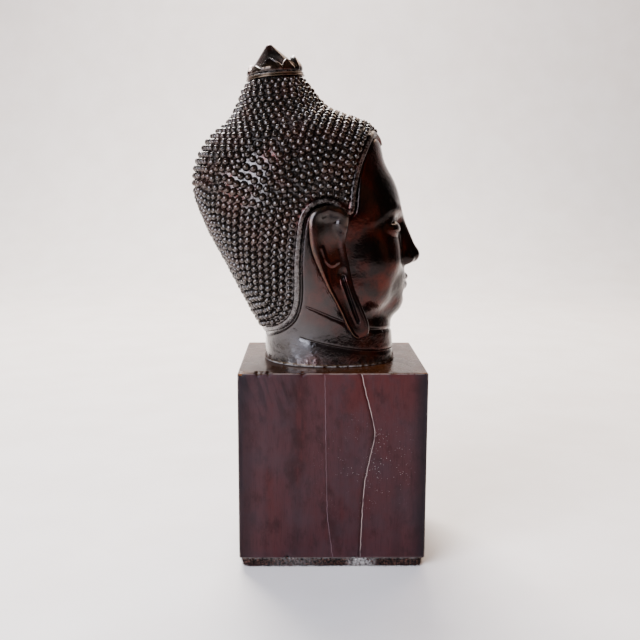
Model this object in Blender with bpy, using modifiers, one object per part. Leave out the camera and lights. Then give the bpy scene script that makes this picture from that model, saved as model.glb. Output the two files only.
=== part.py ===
"""A bronze Buddha head on a stained wooden block with a felt pad.

The object stands on Z = 0, the face looks along -Y and X = 0 is its plane of symmetry. The head is
sculpted in millimetres, in a frame of its own (x sideways, f forwards, z up), and is scaled and
turned into Blender's metres when its meshes are made.
"""

import math

import bmesh
import bpy
import numpy as np
from mathutils.geometry import delaunay_2d_cdt

MM = 0.001

# Felt and block, in millimetres.
BLOCK_WIDTH = 90.0
BLOCK_DEPTH = 100.0
BLOCK_HEIGHT = 102.0
BLOCK_EDGE = 0.8
FELT_THICKNESS = 5.5
FELT_INSET = 1.5
PIECE_GAP = 0.3
DECK = FELT_THICKNESS + BLOCK_HEIGHT
NECK_FOOT = DECK + PIECE_GAP

# Neck, scalp and top-knot: height, front, back and half width of each level section.
SECTIONS = np.array([
    (107.5, 35.6, -37.5, 31.5),
    (124.0, 34.0, -37.2, 30.0),
    (131.0, 33.0, -40.5, 30.4),
    (145.5, 24.0, -48.0, 33.0),
    (164.0, 18.0, -57.6, 36.2),
    (181.5, 20.0, -67.0, 38.4),
    (194.0, 24.0, -72.0, 39.4),
    (204.0, 26.0, -74.6, 39.6),
    (214.5, 27.4, -73.4, 38.6),
    (222.5, 27.6, -69.8, 36.4),
    (229.5, 25.6, -64.8, 33.2),
    (235.5, 20.6, -56.4, 29.6),
    (239.0, 10.4, -53.8, 27.0),
    (241.5, 1.2, -52.4, 24.8),
    (244.5, -4.4, -50.4, 22.4),
    (250.0, -9.0, -48.6, 19.6),
    (258.0, -15.4, -45.2, 15.2),
    (262.0, -18.0, -43.4, 12.8),
    (268.0, -19.5, -42.0, 11.8),
])
SECTION_STEP = 0.5
SECTION_BLUR = 17
SECTION_POWER = 2.15
SLOPE_STEP = 0.5

# The head is seen from one point inside it; every ray from there leaves the head once.
HEART = np.array([0.0, -10.0, 175.0])
AXIS_LEAN = math.radians(13.8)
RAY_LENGTH = 125.0
RAY_STEPS = 44
RAY_CAUTION = 0.72
MEAN_RADIUS = 50.0
TOP_MERCATOR = math.log(math.tan(math.radians(90 - 9.6 / 2)))

# The finial sits on a ring that leans back with the top-knot.
FINIAL_CENTRE = np.array([0.0, -31.2, 262.7])
PETALS = 8
PETAL_COLUMNS = 4
# Lean in degrees; height and radius between the petals; height and radius on a petal; its half width.
FINIAL_ROWS = (
    (3.8, (-6.0, 12.6), (-6.0, 12.6), 1.0),
    (3.8, (-1.3, 14.8), (-1.3, 14.8), 1.0),
    (3.8, (-0.8, 16.0), (-0.8, 16.0), 1.0),
    (3.8, (0.8, 16.0), (0.8, 16.0), 1.0),
    (3.8, (1.3, 13.6), (1.3, 14.7), 0.5),
    (4.2, (3.2, 12.6), (3.4, 15.6), 0.5),
    (7.0, (5.6, 11.2), (6.0, 15.1), 0.5),
    (12.5, (7.8, 9.8), (8.6, 13.1), 0.0),
    (12.5, (8.4, 9.3), (7.9, 10.2), 0.0),
    (12.5, (11.8, 5.7), (11.8, 5.7), 1.0),
    (12.5, (15.0, 2.4), (15.0, 2.4), 1.0),
    (12.5, (16.0, 1.0), (16.0, 1.0), 1.0),
)

# Hair: a raised smooth border round it, then rows of small pointed curls.
BORDER = np.array([
    (0.0, 28.2, 227.8),
    (9.5, 23.0, 230.7),
    (16.0, 21.0, 228.9),
    (22.5, 18.1, 223.3),
    (27.3, 14.4, 214.3),
    (30.9, 11.8, 201.9),
    (33.0, 10.4, 190.6),
    (34.4, 6.0, 189.8),
    (36.0, 0.4, 194.3),
    (37.4, -5.5, 195.2),
    (38.1, -11.2, 192.6),
    (38.3, -14.8, 187.6),
    (37.9, -16.3, 179.5),
    (36.2, -17.6, 164.3),
    (33.6, -17.6, 149.8),
    (31.5, -18.4, 141.0),
    (28.3, -21.2, 133.3),
    (23.7, -26.7, 128.2),
    (15.3, -33.5, 125.2),
    (0.0, -38.5, 123.6),
])
PATH_STEP = 0.7
BORDER_STEP = 5.6
BORDER_RIDGE = ((-0.7, -0.3), (0.4, 1.3), (2.5, 1.3), (3.4, 0.4))
BORDER_TURN_SHARE = 0.93
BORDER_BREAK = 1.8
CURL_PITCH = 6.65
CURL_HEIGHT = 2.7
CURL_BED = 1.2
FIRST_ROW = 5.6
FIRST_RING = 3.4
MOST_ROWS = 17
MARCH_STEP = 0.75
# Spacings below are shares of the curls' pitch.
ROW_SPACING = 0.88
CURL_CROWDING = 0.9
GAP_SEARCH = 0.2
GAP_CROWDING = 0.84
EDGE_CLEARANCE = 0.55
MIDDLE_CATCH = 0.25
MIDDLE_CLEARANCE = 0.46
SETTLE_ROOM = 1.05
SETTLE_SHARE = 0.22
SETTLE_ROUNDS = 8
PARTING_CLEARANCE = 0.42
VALLEY_CLEARANCE = 0.26
VALLEY_REACH = 2.2

# Ears: x, forward and height of their back and front edges, from the top to the end of the lobe.
EAR_RUNS = (0.0, 0.06, 0.14, 0.24, 0.35, 0.48, 0.62, 0.76, 0.88, 0.96, 1.0)
EAR_BACK = np.array([
    (41.5, -5.0, 194.0),
    (42.6, -10.2, 191.8),
    (43.2, -12.8, 187.0),
    (43.4, -12.6, 179.5),
    (43.0, -11.4, 171.5),
    (41.6, -7.8, 162.0),
    (39.6, -2.6, 150.5),
    (37.8, 2.8, 140.0),
    (36.8, 6.6, 131.6),
    (36.2, 9.8, 126.0),
    (35.6, 12.4, 123.6),
])
EAR_FRONT = np.array([
    (40.6, -1.0, 194.4),
    (38.6, 4.6, 192.6),
    (36.6, 7.8, 188.6),
    (35.4, 7.4, 181.5),
    (34.8, 6.2, 174.6),
    (34.8, 8.4, 163.0),
    (34.8, 11.0, 151.4),
    (34.8, 15.2, 141.6),
    (34.6, 18.6, 133.0),
    (34.4, 19.0, 127.4),
    (34.4, 16.8, 123.8),
])
EAR_ROWS = 22
EAR_COLUMNS = (0.0, 0.06, 0.19, 0.36, 0.54, 0.66, 0.78, 1.0)
EAR_RIM = 1.2
EAR_BOWL = 3.4
EAR_BASIN = 2.0
EAR_SLIT = 2.4
EAR_FOLD = 2.2
EAR_THICKNESS = 4.2
EAR_FREE_FROM = (0.5, 0.62)
EAR_ROOT = (0.15, 0.4)
EAR_ROOT_DEPTH = 7.0

# Creases round the neck, from behind to the front.
NECK_CREASES = (
    ((31.9, -14.2, 140.5), (31.5, -7.8, 137.8), (29.6, 3.4, 132.7), (25.0, 18.0, 127.4), (0.0, 34.2, 124.4)),
    ((27.6, -17.4, 123.1), (29.8, -9.4, 120.8), (30.0, 6.7, 117.3), (22.0, 24.0, 114.6), (0.0, 35.0, 113.6)),
)
CREASE_RADIUS = 0.8
CREASE_STEP = 6.0
CREASE_POINT_STEP = 3.6
CREASE_HALF_WIDTH = 1.7

# Spacing of the points on bare skin.
FACE_STEP = 2.7
SKIN_STEP = 6.0
SKIN_CLEARANCE = 0.6
FACE_LOW = 128.0
FACE_BACK = 18.0
ON_MIDDLE = 1e-6


# Sculpting in distance fields -------------------------------------------------------------------

def length(vectors):
    return np.sqrt((vectors * vectors).sum(-1))


def ellipsoid(points, centre, radii):
    """Distance to an ellipsoid, close to true near its surface."""
    offset = points - np.array(centre)
    radii = np.array(radii)
    near = length(offset / radii)
    slope = length(offset / radii**2) + 1e-9
    return near * (near - 1) / slope


def taper(points, start, end, start_radius, end_radius):
    """Distance to a round bar that tapers from one radius to another."""
    start = np.array(start)
    along = np.array(end) - start
    share = np.clip((points - start) @ along / (along @ along), 0, 1)
    radius = start_radius + (end_radius - start_radius) * share
    return length(points - start - share[..., None] * along) - radius


def stroke(points, path, radii):
    """Distance to a chain of tapered bars along a path."""
    bars = zip(path[:-1], path[1:], radii[:-1], radii[1:])
    return np.minimum.reduce([taper(points, *bar) for bar in bars])


def add(shape, clay, softness):
    """Join two distance fields with a soft fillet."""
    share = np.clip(0.5 + 0.5 * (clay - shape) / softness, 0, 1)
    return clay * (1 - share) + shape * share - softness * share * (1 - share)


def carve(shape, tool, softness):
    """Cut a distance field out of another with a soft edge."""
    return -add(-shape, tool, softness)


# The head's form ---------------------------------------------------------------------------------

def section_table():
    """Heights with the front, back and half width there, eased between the named sections."""
    heights = np.arange(SECTIONS[0, 0], SECTIONS[-1, 0], SECTION_STEP)
    window = np.hanning(SECTION_BLUR + 2)[1:-1]
    window /= window.sum()
    margin = SECTION_BLUR // 2
    columns = []
    for column in SECTIONS.T[1:]:
        values = np.pad(np.interp(heights, SECTIONS[:, 0], column), margin, mode="edge")
        columns.append(np.convolve(values, window, "valid"))
    return heights, *columns


HEIGHTS, FRONTS, BACKS, HALF_WIDTHS = section_table()


def level_share(points):
    """Middle of the section at each point's height, and the point's share of the way out to the skin."""
    side, ahead, height = np.moveaxis(points, -1, 0)
    front = np.interp(height, HEIGHTS, FRONTS)
    back = np.interp(height, HEIGHTS, BACKS)
    middle = (front + back) / 2
    across = side / np.interp(height, HEIGHTS, HALF_WIDTHS)
    along = (ahead - middle) / ((front - back) / 2)
    share = (np.abs(across)**SECTION_POWER + np.abs(along)**SECTION_POWER)**(1 / SECTION_POWER)
    return middle, share + 1e-9


def scalp(points):
    """Neck, skull and top-knot, as level sections between a front, a back and two sides."""
    side, ahead, height = np.moveaxis(points, -1, 0)
    gaps = []
    for rise in (0, SLOPE_STEP):
        middle, share = level_share(points + (0, 0, rise))
        gaps.append(np.hypot(side, ahead - middle) * (1 - 1 / share))
    slope = (gaps[1] - gaps[0]) / SLOPE_STEP
    return np.maximum(gaps[0] / np.sqrt(1 + slope * slope), height - SECTIONS[-1, 0])


def onto_neck(path):
    """Move points level, straight out from the neck's middle, onto its skin."""
    middle, share = level_share(path)
    return np.stack([path[:, 0] / share, middle + (path[:, 1] - middle) / share, path[:, 2]], axis=-1)


def face_mass(points):
    """Forehead, cheeks, jaw and chin, before any feature."""
    mass = ellipsoid(points, (0, 2, 186), (33.8, 37, 43))
    mass = add(mass, ellipsoid(points, (0, 6.5, 158), (31, 32, 27)), 10)
    mass = add(mass, ellipsoid(points, (0, 29.5, 140.8), (12.5, 10.6, 10)), 12)
    mass = add(mass, ellipsoid(points, (16.5, 23.5, 164), (12.5, 12, 14)), 10)
    return add(mass, ellipsoid(points, (18.5, 12, 146.5), (10.5, 16, 10.5)), 10)


def with_brow_and_eye(shape, points):
    """Shallow socket, brow arch that runs into the nose, and an eye under lowered lids."""
    side, _, height = np.moveaxis(points, -1, 0)
    shape = carve(shape, ellipsoid(points, (14.2, 42.2, 184), (11.6, 7.6, 5.2)), 4.5)
    brow = [(3.4, 36.4, 184.4), (5.4, 36.2, 188.4), (9.5, 35.3, 191.8), (15, 32.6, 193.2), (21, 27.9, 191),
            (27, 20.6, 185.6)]
    shape = add(shape, stroke(points, brow, (1, 1.5, 1.7, 1.7, 1.3, 0.4)), 3.6)
    bow = 1 - np.clip((side - 14) / 8, -1.2, 1.2)**2
    corner_line = 179.8 + 0.05 * (side - 14)
    slit = np.maximum(height - (corner_line - 0.1 * bow), corner_line - 1.6 * bow - height)
    lids = carve(ellipsoid(points, (14, 27.9, 181), (10.2, 9, 6.2)), slit, 0.35)
    ball = ellipsoid(points, (14, 27.9, 180.8), (9.6, 8.5, 5.7))
    shape = add(shape, np.minimum(lids, ball), 1.5)
    crease = [(6, 36.9, 182.2), (9.6, 37.6, 185.2), (14, 37, 186.6), (19, 33.8, 185.4), (23, 29, 182)]
    return carve(shape, stroke(points, crease, (0.3, 0.5, 0.55, 0.5, 0.3)), 1.1)


def with_nose(shape, points):
    """Straight bridge, rounded tip, wings and shallow nostrils."""
    nose = taper(points, (0, 36.4, 188), (0, 44.6, 166.8), 2.7, 3.8)
    nose = add(nose, ellipsoid(points, (0, 44.6, 165.9), (4.7, 4.6, 4.3)), 2.5)
    nose = add(nose, ellipsoid(points, (5.0, 41.2, 164.4), (3.0, 4.6, 3.6)), 2)
    nose = add(nose, taper(points, (2.4, 35.5, 186), (3.6, 40, 167), 2.6, 3.8), 3)
    shape = add(shape, nose, 2.8)
    return carve(shape, ellipsoid(points, (2.9, 43.4, 160.4), (1.4, 2.4, 1.5)), 0.9)


def with_mouth(shape, points):
    """Full lips that meet in a quiet line, the groove above them and the hollow under them."""
    shape = add(shape, ellipsoid(points, (0, 31.5, 152.5), (16.5, 9.4, 10)), 6)
    shape = carve(shape, ellipsoid(points, (0, 44.6, 145), (9, 4.6, 2.6)), 3)
    shape = carve(shape, stroke(points, [(0, 43.2, 159.2), (0, 42.7, 156.4)], (0.9, 1.1)), 1.6)
    upper = [(0, 40.6, 153), (2.6, 40.9, 153.9), (6.6, 39.4, 153.3), (10.4, 37.4, 152.5), (12.4, 36.2, 152.5)]
    lower = [(0, 40.2, 149.4), (4, 39.8, 149.4), (8, 38.3, 150.2), (11.4, 36.8, 151.7)]
    meeting = [(0, 43.1, 151.5), (4, 42.4, 151.3), (8, 40.7, 151.5), (12, 38.2, 152.5)]
    shape = add(shape, stroke(points, upper, (1.7, 1.9, 1.5, 0.9, 0.4)), 1)
    shape = add(shape, stroke(points, lower, (2.5, 2.3, 1.5, 0.5)), 1.4)
    return carve(shape, stroke(points, meeting, (0.5, 0.5, 0.45, 0.3)), 0.8)


def with_neck_creases(shape, points):
    """Two creases round the neck, higher behind than in front."""
    for path in CREASE_PATHS:
        shape = carve(shape, stroke(points, path, [CREASE_RADIUS] * len(path)), 1.2)
    return shape


def head(points):
    """Distance field of the bald head, the same on both sides."""
    points = np.concatenate([np.abs(points[..., :1]), points[..., 1:]], axis=-1)
    shape = add(scalp(points), face_mass(points), 5)
    shape = with_brow_and_eye(shape, points)
    shape = with_nose(shape, points)
    shape = with_mouth(shape, points)
    return with_neck_creases(shape, points)


# Rays, and the flat chart of the head --------------------------------------------------------------

def directions(chart):
    """Unit rays for chart points: azimuth from the front, and height as a Mercator map shows it."""
    azimuth, mercator = np.moveaxis(chart, -1, 0)
    lift = 2 * np.arctan(np.exp(mercator)) - math.pi / 2
    ahead = np.cos(azimuth) * np.cos(lift)
    up = np.sin(lift)
    lean_cos, lean_sin = math.cos(AXIS_LEAN), math.sin(AXIS_LEAN)
    return np.stack([
        np.sin(azimuth) * np.cos(lift),
        ahead * lean_cos - up * lean_sin,
        ahead * lean_sin + up * lean_cos,
    ], axis=-1)


def chart_of(points):
    """Where points lie on the chart."""
    side, ahead, up = np.moveaxis((points - HEART) / length(points - HEART)[..., None], -1, 0)
    lean_cos, lean_sin = math.cos(AXIS_LEAN), math.sin(AXIS_LEAN)
    level = ahead * lean_cos + up * lean_sin
    lift = np.arcsin(np.clip(up * lean_cos - ahead * lean_sin, -1, 1))
    return np.stack([np.arctan2(side, level), np.log(np.tan(math.pi / 4 + lift / 2))], axis=-1)


def cast(rays, start=RAY_LENGTH, steps=RAY_STEPS):
    """Where rays from the heart of the head leave it, found from outside."""
    reach = np.broadcast_to(np.asarray(start, dtype=float), rays.shape[:-1]).copy()
    for _ in range(steps):
        reach -= RAY_CAUTION * head(HEART + reach[..., None] * rays)
    return HEART + reach[..., None] * rays


def onto_head(points, steps=10):
    """Slide points along their rays onto the surface."""
    reach = length(points - HEART)
    return cast((points - HEART) / reach[..., None], reach, steps)


def normals(points, step=0.4):
    """Outward normals of the distance field."""
    slopes = [head(points + step * axis) - head(points - step * axis) for axis in np.eye(3)]
    slopes = np.stack(slopes, axis=-1)
    return slopes / length(slopes)[..., None]


# The hair's border and its rows ---------------------------------------------------------------------

def smooth_path(corners, step):
    """Evenly spaced points of a Catmull-Rom curve through the corners."""
    ends = np.vstack([2 * corners[0] - corners[1], corners, 2 * corners[-1] - corners[-2]])
    share = np.linspace(0, 1, 24, endpoint=False)[:, None]
    pieces = []
    for before, start, end, after in zip(ends, ends[1:], ends[2:], ends[3:]):
        pieces.append(0.5 * (2 * start + (end - before) * share
                             + (2 * before - 5 * start + 4 * end - after) * share**2
                             + (3 * start - before - 3 * end + after) * share**3))
    return resample(np.vstack([*pieces, corners[-1:]]), step)


def resample(path, step):
    """Evenly spaced points along a path, its two ends included."""
    run = np.concatenate([[0], np.cumsum(length(np.diff(path, axis=0)))])
    count = max(2, round(run[-1] / step) + 1)
    even = np.linspace(0, run[-1], count)
    return np.stack([np.interp(even, run, column) for column in path.T], axis=-1)


def seam(path, turn):
    """Points of a path on the head with the level direction across it, to the given side."""
    along = np.gradient(path, axis=0)
    up = normals(path)
    across = turn * np.cross(along, up)
    across /= length(across)[..., None]
    across[[0, -1], 0] = 0
    return across / length(across)[..., None]


def march(points, across, distance):
    """Walk over the head from points, straight across their path, for a distance."""
    for _ in range(max(1, round(distance / MARCH_STEP))):
        points = onto_head(points + across * distance / max(1, round(distance / MARCH_STEP)), 6)
        up = normals(points)
        across = across - (across * up).sum(-1)[..., None] * up
        across /= length(across)[..., None]
    return points, across


def with_room(places, taken, edge, crowding):
    """The taken places and those new ones that keep clear of them and of the hair's edges."""
    taken = list(taken)
    for place in places:
        if length(edge - place).min() < CURL_PITCH * EDGE_CLEARANCE:
            continue
        if not taken or length(np.array(taken) - place).min() >= CURL_PITCH * crowding:
            taken.append(place)
    return taken


def curl_places(border, ring):
    """Curls of one half: rows along the border and the ring until they meet, then what gaps are left."""
    edge = np.vstack([resample(border, PATH_STEP), resample(ring, PATH_STEP)])
    fronts = []
    for path, turn, first in ((border, 1, FIRST_ROW), (ring, -1, FIRST_RING)):
        path = onto_head(resample(path, MARCH_STEP / 2))
        fronts.append(march(path, seam(path, turn), first))
    taken = []
    for row in range(MOST_ROWS):
        for front, _ in fronts:
            places = row_places(front[in_hair(front)], row % 2 == 0)
            taken = with_room(places, taken, edge, CURL_CROWDING)
        fronts = [march(front, across, CURL_PITCH * ROW_SPACING) for front, across in fronts]
    gaps = cast(directions(lattice(CURL_PITCH * GAP_SEARCH)))
    gaps = gaps[in_hair(gaps) & (gaps[:, 0] > CURL_PITCH * MIDDLE_CLEARANCE)]
    return settle(np.array(with_room(gaps, taken, edge, GAP_CROWDING)), edge)


def row_places(front, on_middle):
    """Places a pitch apart along one row, with or without one on the plane of symmetry."""
    places = []
    for point in front:
        if point[0] < CURL_PITCH * MIDDLE_CATCH:
            if not on_middle or point[0] < 0:
                continue
            point = point * (0, 1, 1)
        elif point[0] < CURL_PITCH * MIDDLE_CLEARANCE:
            continue
        if not places or length(point - places[-1]) >= CURL_PITCH:
            places.append(point)
    return places


def settle(curls, edge):
    """Let crowded curls drift apart into the gaps and off the hair's edges."""
    in_middle = curls[:, 0] < CURL_PITCH * MIDDLE_CATCH
    for _ in range(SETTLE_ROUNDS):
        apart = curls[:, None] - np.vstack([curls, curls * (-1, 1, 1)])
        gap = length(apart)
        room = CURL_PITCH * SETTLE_ROOM
        push = np.where((gap > ON_MIDDLE) & (gap < room), room / np.maximum(gap, ON_MIDDLE) - 1, 0)
        shift = (apart * push[..., None]).sum(1)
        from_edge = np.array([curl - edge[length(edge - curl).argmin()] for curl in curls])
        room = CURL_PITCH * EDGE_CLEARANCE
        shift += from_edge * np.maximum(room / length(from_edge) - 1, 0)[:, None]
        curls = curls + SETTLE_SHARE * shift
        curls[in_middle, 0] = 0
        curls = onto_head(curls)
    return curls


def in_hair(points):
    """Whether points lie above and behind the border."""
    corners = np.vstack([chart_of(resample(BORDER_PATH, 2.0)), (math.pi, TOP_MERCATOR), (0.0, TOP_MERCATOR)])
    corners[[0, -1], 0] = -0.1
    azimuth, mercator = np.moveaxis(chart_of(points), -1, 0)
    inside = np.zeros(azimuth.shape, dtype=bool)
    for (left, low), (right, high) in zip(corners, np.roll(corners, -1, axis=0)):
        if left == right:
            continue
        spans = (azimuth < left) != (azimuth < right)
        inside ^= spans & (mercator < low + (azimuth - left) * (high - low) / (right - left))
    return inside


def lattice(step):
    """Chart points in a staggered lattice over half the head, step millimetres apart near its middle."""
    pitch = step / MEAN_RADIUS
    rows = np.arange(-2.2, TOP_MERCATOR, pitch * 0.866)
    return np.array([
        (azimuth, mercator)
        for row, mercator in enumerate(rows)
        for azimuth in np.arange(pitch * (0.5 + row % 2 / 2), math.pi, pitch)
    ])


# The bronze head's mesh -----------------------------------------------------------------------------

def foot_points(step):
    """The neck's outline on its flat foot, from the front to the back."""
    front, back, half_width = (np.interp(NECK_FOOT, HEIGHTS, column)
                               for column in (FRONTS, BACKS, HALF_WIDTHS))
    turn = np.linspace(0, math.pi, 240)
    rounding = 2 / SECTION_POWER
    side = half_width * np.abs(np.sin(turn))**rounding
    ahead = (front + back) / 2 + (front - back) / 2 * np.sign(np.cos(turn)) * np.abs(np.cos(turn))**rounding
    return resample(np.stack([side, ahead, np.full_like(side, NECK_FOOT)], axis=-1), step)


def middle_points(azimuth, low, high, step):
    """Points of the middle line between two of its points, their ends left out."""
    mercators = np.linspace(chart_of(low)[1], chart_of(high)[1], 160)
    line = cast(directions(np.stack([np.full_like(mercators, azimuth), mercators], axis=-1)))
    return resample(line, step)[1:-1]


def far_from(points, others, distance):
    """The points that keep a distance from all the others."""
    gaps = np.array([length(others - point).min() for point in points])
    return points[gaps >= distance]


def triangles_of(chart, outline=None, edges=()):
    """Triangles of a Delaunay map of chart points, and the points it adds where two of its lines cross."""
    faces = [] if outline is None else [outline]
    kind = 0 if outline is None else 1
    made, _, triangles, origins, _, _ = delaunay_2d_cdt(
        [tuple(spot) for spot in chart], list(edges), faces, kind, 1e-9)
    crossings = [index for index, origin in enumerate(origins) if not origin]
    numbers = [origin[0] if origin else len(chart) + crossings.index(index)
               for index, origin in enumerate(origins)]
    added = np.array([tuple(made[index]) for index in crossings]).reshape(-1, 2)
    return [[numbers[corner] for corner in triangle] for triangle in triangles], added


def border_lines():
    """The border's ridge as lines along it: their points and height over the skin, and where they break."""
    across = seam(BORDER_PATH, 1)
    lines = []
    for offset, lift in BORDER_RIDGE:
        line = onto_head(BORDER_PATH + offset * across)
        line[[0, -1], 0] = 0
        gaps = np.array([length(BORDER_PATH - point).min() for point in line])
        runs = [0]
        for run in range(1, len(line) - 1):
            spaced = min(length(line[run] - line[runs[-1]]), 2 * length(line[run] - line[-1])) >= BORDER_STEP
            if spaced and gaps[run] > abs(offset) * BORDER_TURN_SHARE:
                runs.append(run)
        runs.append(len(line) - 1)
        breaks = np.diff(runs) * PATH_STEP > BORDER_STEP * BORDER_BREAK
        lines.append((line[runs], lift, breaks))
    return lines


def crease_points():
    """Points in and beside the neck's creases, short of the middle line."""
    lines = []
    for path in CREASE_PATHS:
        for rise in (-CREASE_HALF_WIDTH, 0, CREASE_HALF_WIDTH):
            lines.append(onto_head(resample(path, CREASE_POINT_STEP)[:-1] + (0, 0, rise)))
    return np.vstack(lines)


def skin_points(edge):
    """Bare skin: a fine lattice over the face, a coarse one round the neck and behind the ears."""
    creases = far_from(crease_points(), edge, SKIN_STEP * SKIN_CLEARANCE / 2)
    creases = creases[~in_hair(creases)]
    fine = cast(directions(lattice(FACE_STEP)))
    face = (fine[:, 2] > FACE_LOW) & (fine[:, 1] > FACE_BACK)
    fine = fine[face & ~in_hair(fine)]
    fine = far_from(fine, np.vstack([edge, creases]), FACE_STEP * SKIN_CLEARANCE)
    coarse = cast(directions(lattice(SKIN_STEP)))
    coarse = coarse[~in_hair(coarse) & (coarse[:, 2] > NECK_FOOT + SKIN_STEP / 2)]
    coarse = far_from(coarse, np.vstack([edge, creases, fine]), SKIN_STEP * SKIN_CLEARANCE)
    return np.vstack([creases, fine, coarse])


def middle_line(edges_between, step):
    """Points of the middle line between a point in front or behind and the next, left exactly on it."""
    line = np.vstack([middle_points(azimuth, low, high, step) for azimuth, low, high in edges_between])
    line[:, 0] = 0
    return line


def hair_points(ring, bed):
    """The parting's points, the curls and the valleys between them, inside the border's bed and the ring."""
    curls = curl_places(BORDER_PATH, ring)
    parting = middle_line([(0, bed[0], ring[0]), (math.pi, bed[-1], ring[-1])], CURL_PITCH / math.sqrt(3))
    parting = far_from(parting, curls, CURL_PITCH * PARTING_CLEARANCE)
    walls = np.vstack([bed, ring, parting])
    seeds = np.vstack([curls, walls])
    valleys = onto_head(np.array([
        seeds[corners].mean(0) for corners in triangles_of(chart_of(seeds))[0]
        if min(corners) < len(curls) and longest_side(seeds[corners]) < CURL_PITCH * VALLEY_REACH
    ]))
    return parting, curls, far_from(valleys[in_hair(valleys)], walls, CURL_PITCH * VALLEY_CLEARANCE)


def half_head():
    """Points of half the head, lifted off the skin where there is hair, and the faces between them."""
    ring = cast(directions(np.stack([np.linspace(0, math.pi, 13), np.full(13, TOP_MERCATOR)], axis=-1)))
    ring[[0, -1], 0] = 0
    foot = foot_points(SKIN_STEP)
    lines = border_lines()
    first_line, bed = lines[0][0], lines[-1][0]
    parting, curls, valleys = hair_points(ring, bed)
    profile = np.vstack([middle_line([(0, foot[0], first_line[0])], FACE_STEP),
                         middle_line([(math.pi, foot[-1], first_line[-1])], SKIN_STEP)])
    skin = skin_points(np.vstack([foot, profile, *(line for line, _, _ in lines)]))

    groups = {"foot": (foot, 0), "profile": (profile, 0), "skin": (skin, 0),
              "valleys": (valleys, CURL_BED), "parting": (parting, CURL_BED),
              "curls": (curls, CURL_BED + CURL_HEIGHT), "ring": (ring, CURL_BED)}
    groups |= {number: (line, lift) for number, (line, lift, _) in enumerate(lines)}
    spots = numbers_of({name: group for name, (group, _) in groups.items()})
    points = np.vstack([group for group, _ in groups.values()])
    lifts = np.concatenate([np.full(len(group), lift) for group, lift in groups.values()])
    chart = chart_of(points)
    middle = np.abs(points[:, 0]) < ON_MIDDLE
    chart[middle, 0] = np.where(chart[middle, 0] > 1, math.pi, 0)

    edges = []
    for number, (_, _, breaks) in enumerate(lines):
        pairs = zip(spots[number], spots[number][1:])
        edges += [pair for pair, broken in zip(pairs, breaks) if not broken]
    faces, crossings = triangles_of(chart, outline_of(chart, middle, spots), edges)
    points = np.vstack([points, cast(directions(crossings))])
    lifts = np.concatenate([lifts, np.full(len(crossings), CURL_BED)])

    lifted = points + lifts[:, None] * normals(points)
    lifted[np.abs(points[:, 0]) < ON_MIDDLE, 0] = 0
    lifted[spots["foot"]] = foot
    return lifted, faces + [spots["foot"], spots["ring"]]


def numbers_of(groups):
    """The numbers each named group's points get when the groups are stacked."""
    numbers = {}
    start = 0
    for name, group in groups.items():
        numbers[name] = list(range(start, start + len(group)))
        start += len(group)
    return numbers


def outline_of(chart, middle, spots):
    """The half head's outline on the chart: foot, back middle line, ring and front middle line."""
    in_front = [spot for spot in np.flatnonzero(middle) if chart[spot, 0] == 0]
    behind = [spot for spot in np.flatnonzero(middle) if chart[spot, 0] > 0]
    in_front.sort(key=lambda spot: -chart[spot, 1])
    behind.sort(key=lambda spot: chart[spot, 1])
    return spots["foot"][:-1] + behind[:-1] + spots["ring"][:0:-1] + in_front[:-1]


def longest_side(corners):
    return length(corners - np.roll(corners, 1, axis=0)).max()


def to_scene(points):
    """Sculpting millimetres to Blender's metres, the face turned to -Y."""
    return [(side * MM, -ahead * MM, up * MM) for side, ahead, up in np.asarray(points).tolist()]


def mesh_object(name, points, faces, material, collection):
    """A mesh object with its faces turned outwards."""
    mesh = bpy.data.meshes.new(name)
    mesh.from_pydata(to_scene(points), [], [tuple(face) for face in faces])
    body = bmesh.new()
    body.from_mesh(mesh)
    bmesh.ops.recalc_face_normals(body, faces=body.faces)
    body.to_mesh(mesh)
    body.free()
    mesh.materials.append(material)
    part = bpy.data.objects.new(name, mesh)
    collection.objects.link(part)
    return part


# Ears -------------------------------------------------------------------------------------------------

def ear_surface(run, across):
    """A point of the ear's outer face: run goes from its top to the lobe's end, across from back to front."""
    back = np.array([np.interp(run, EAR_RUNS, column) for column in EAR_BACK.T])
    front = np.array([np.interp(run, EAR_RUNS, column) for column in EAR_FRONT.T])
    side, ahead, height = back + (front - back) * across
    bowl = swell(height, 179, 13) * swell(across, 0.52, 0.4)
    basin = swell(height, 163, 7) * swell(across, 0.45, 0.3)
    slit = swell(height, 144.5, 13) * swell(across, 0.66, 0.12)
    rim = swell(across, 0.06, 0.14) + 0.6 * swell(across, 0.97, 0.12)
    fold = swell(height, 178, 9) * swell(across, 0.62, 0.12)
    side += EAR_RIM * rim - EAR_BOWL * bowl - EAR_BASIN * basin - EAR_SLIT * slit + EAR_FOLD * fold
    return np.array([side, ahead, height])


def swell(value, centre, reach):
    """A smooth bump of height 1."""
    share = min(abs(value - centre) / reach, 1)
    return (1 - share * share)**2


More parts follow.
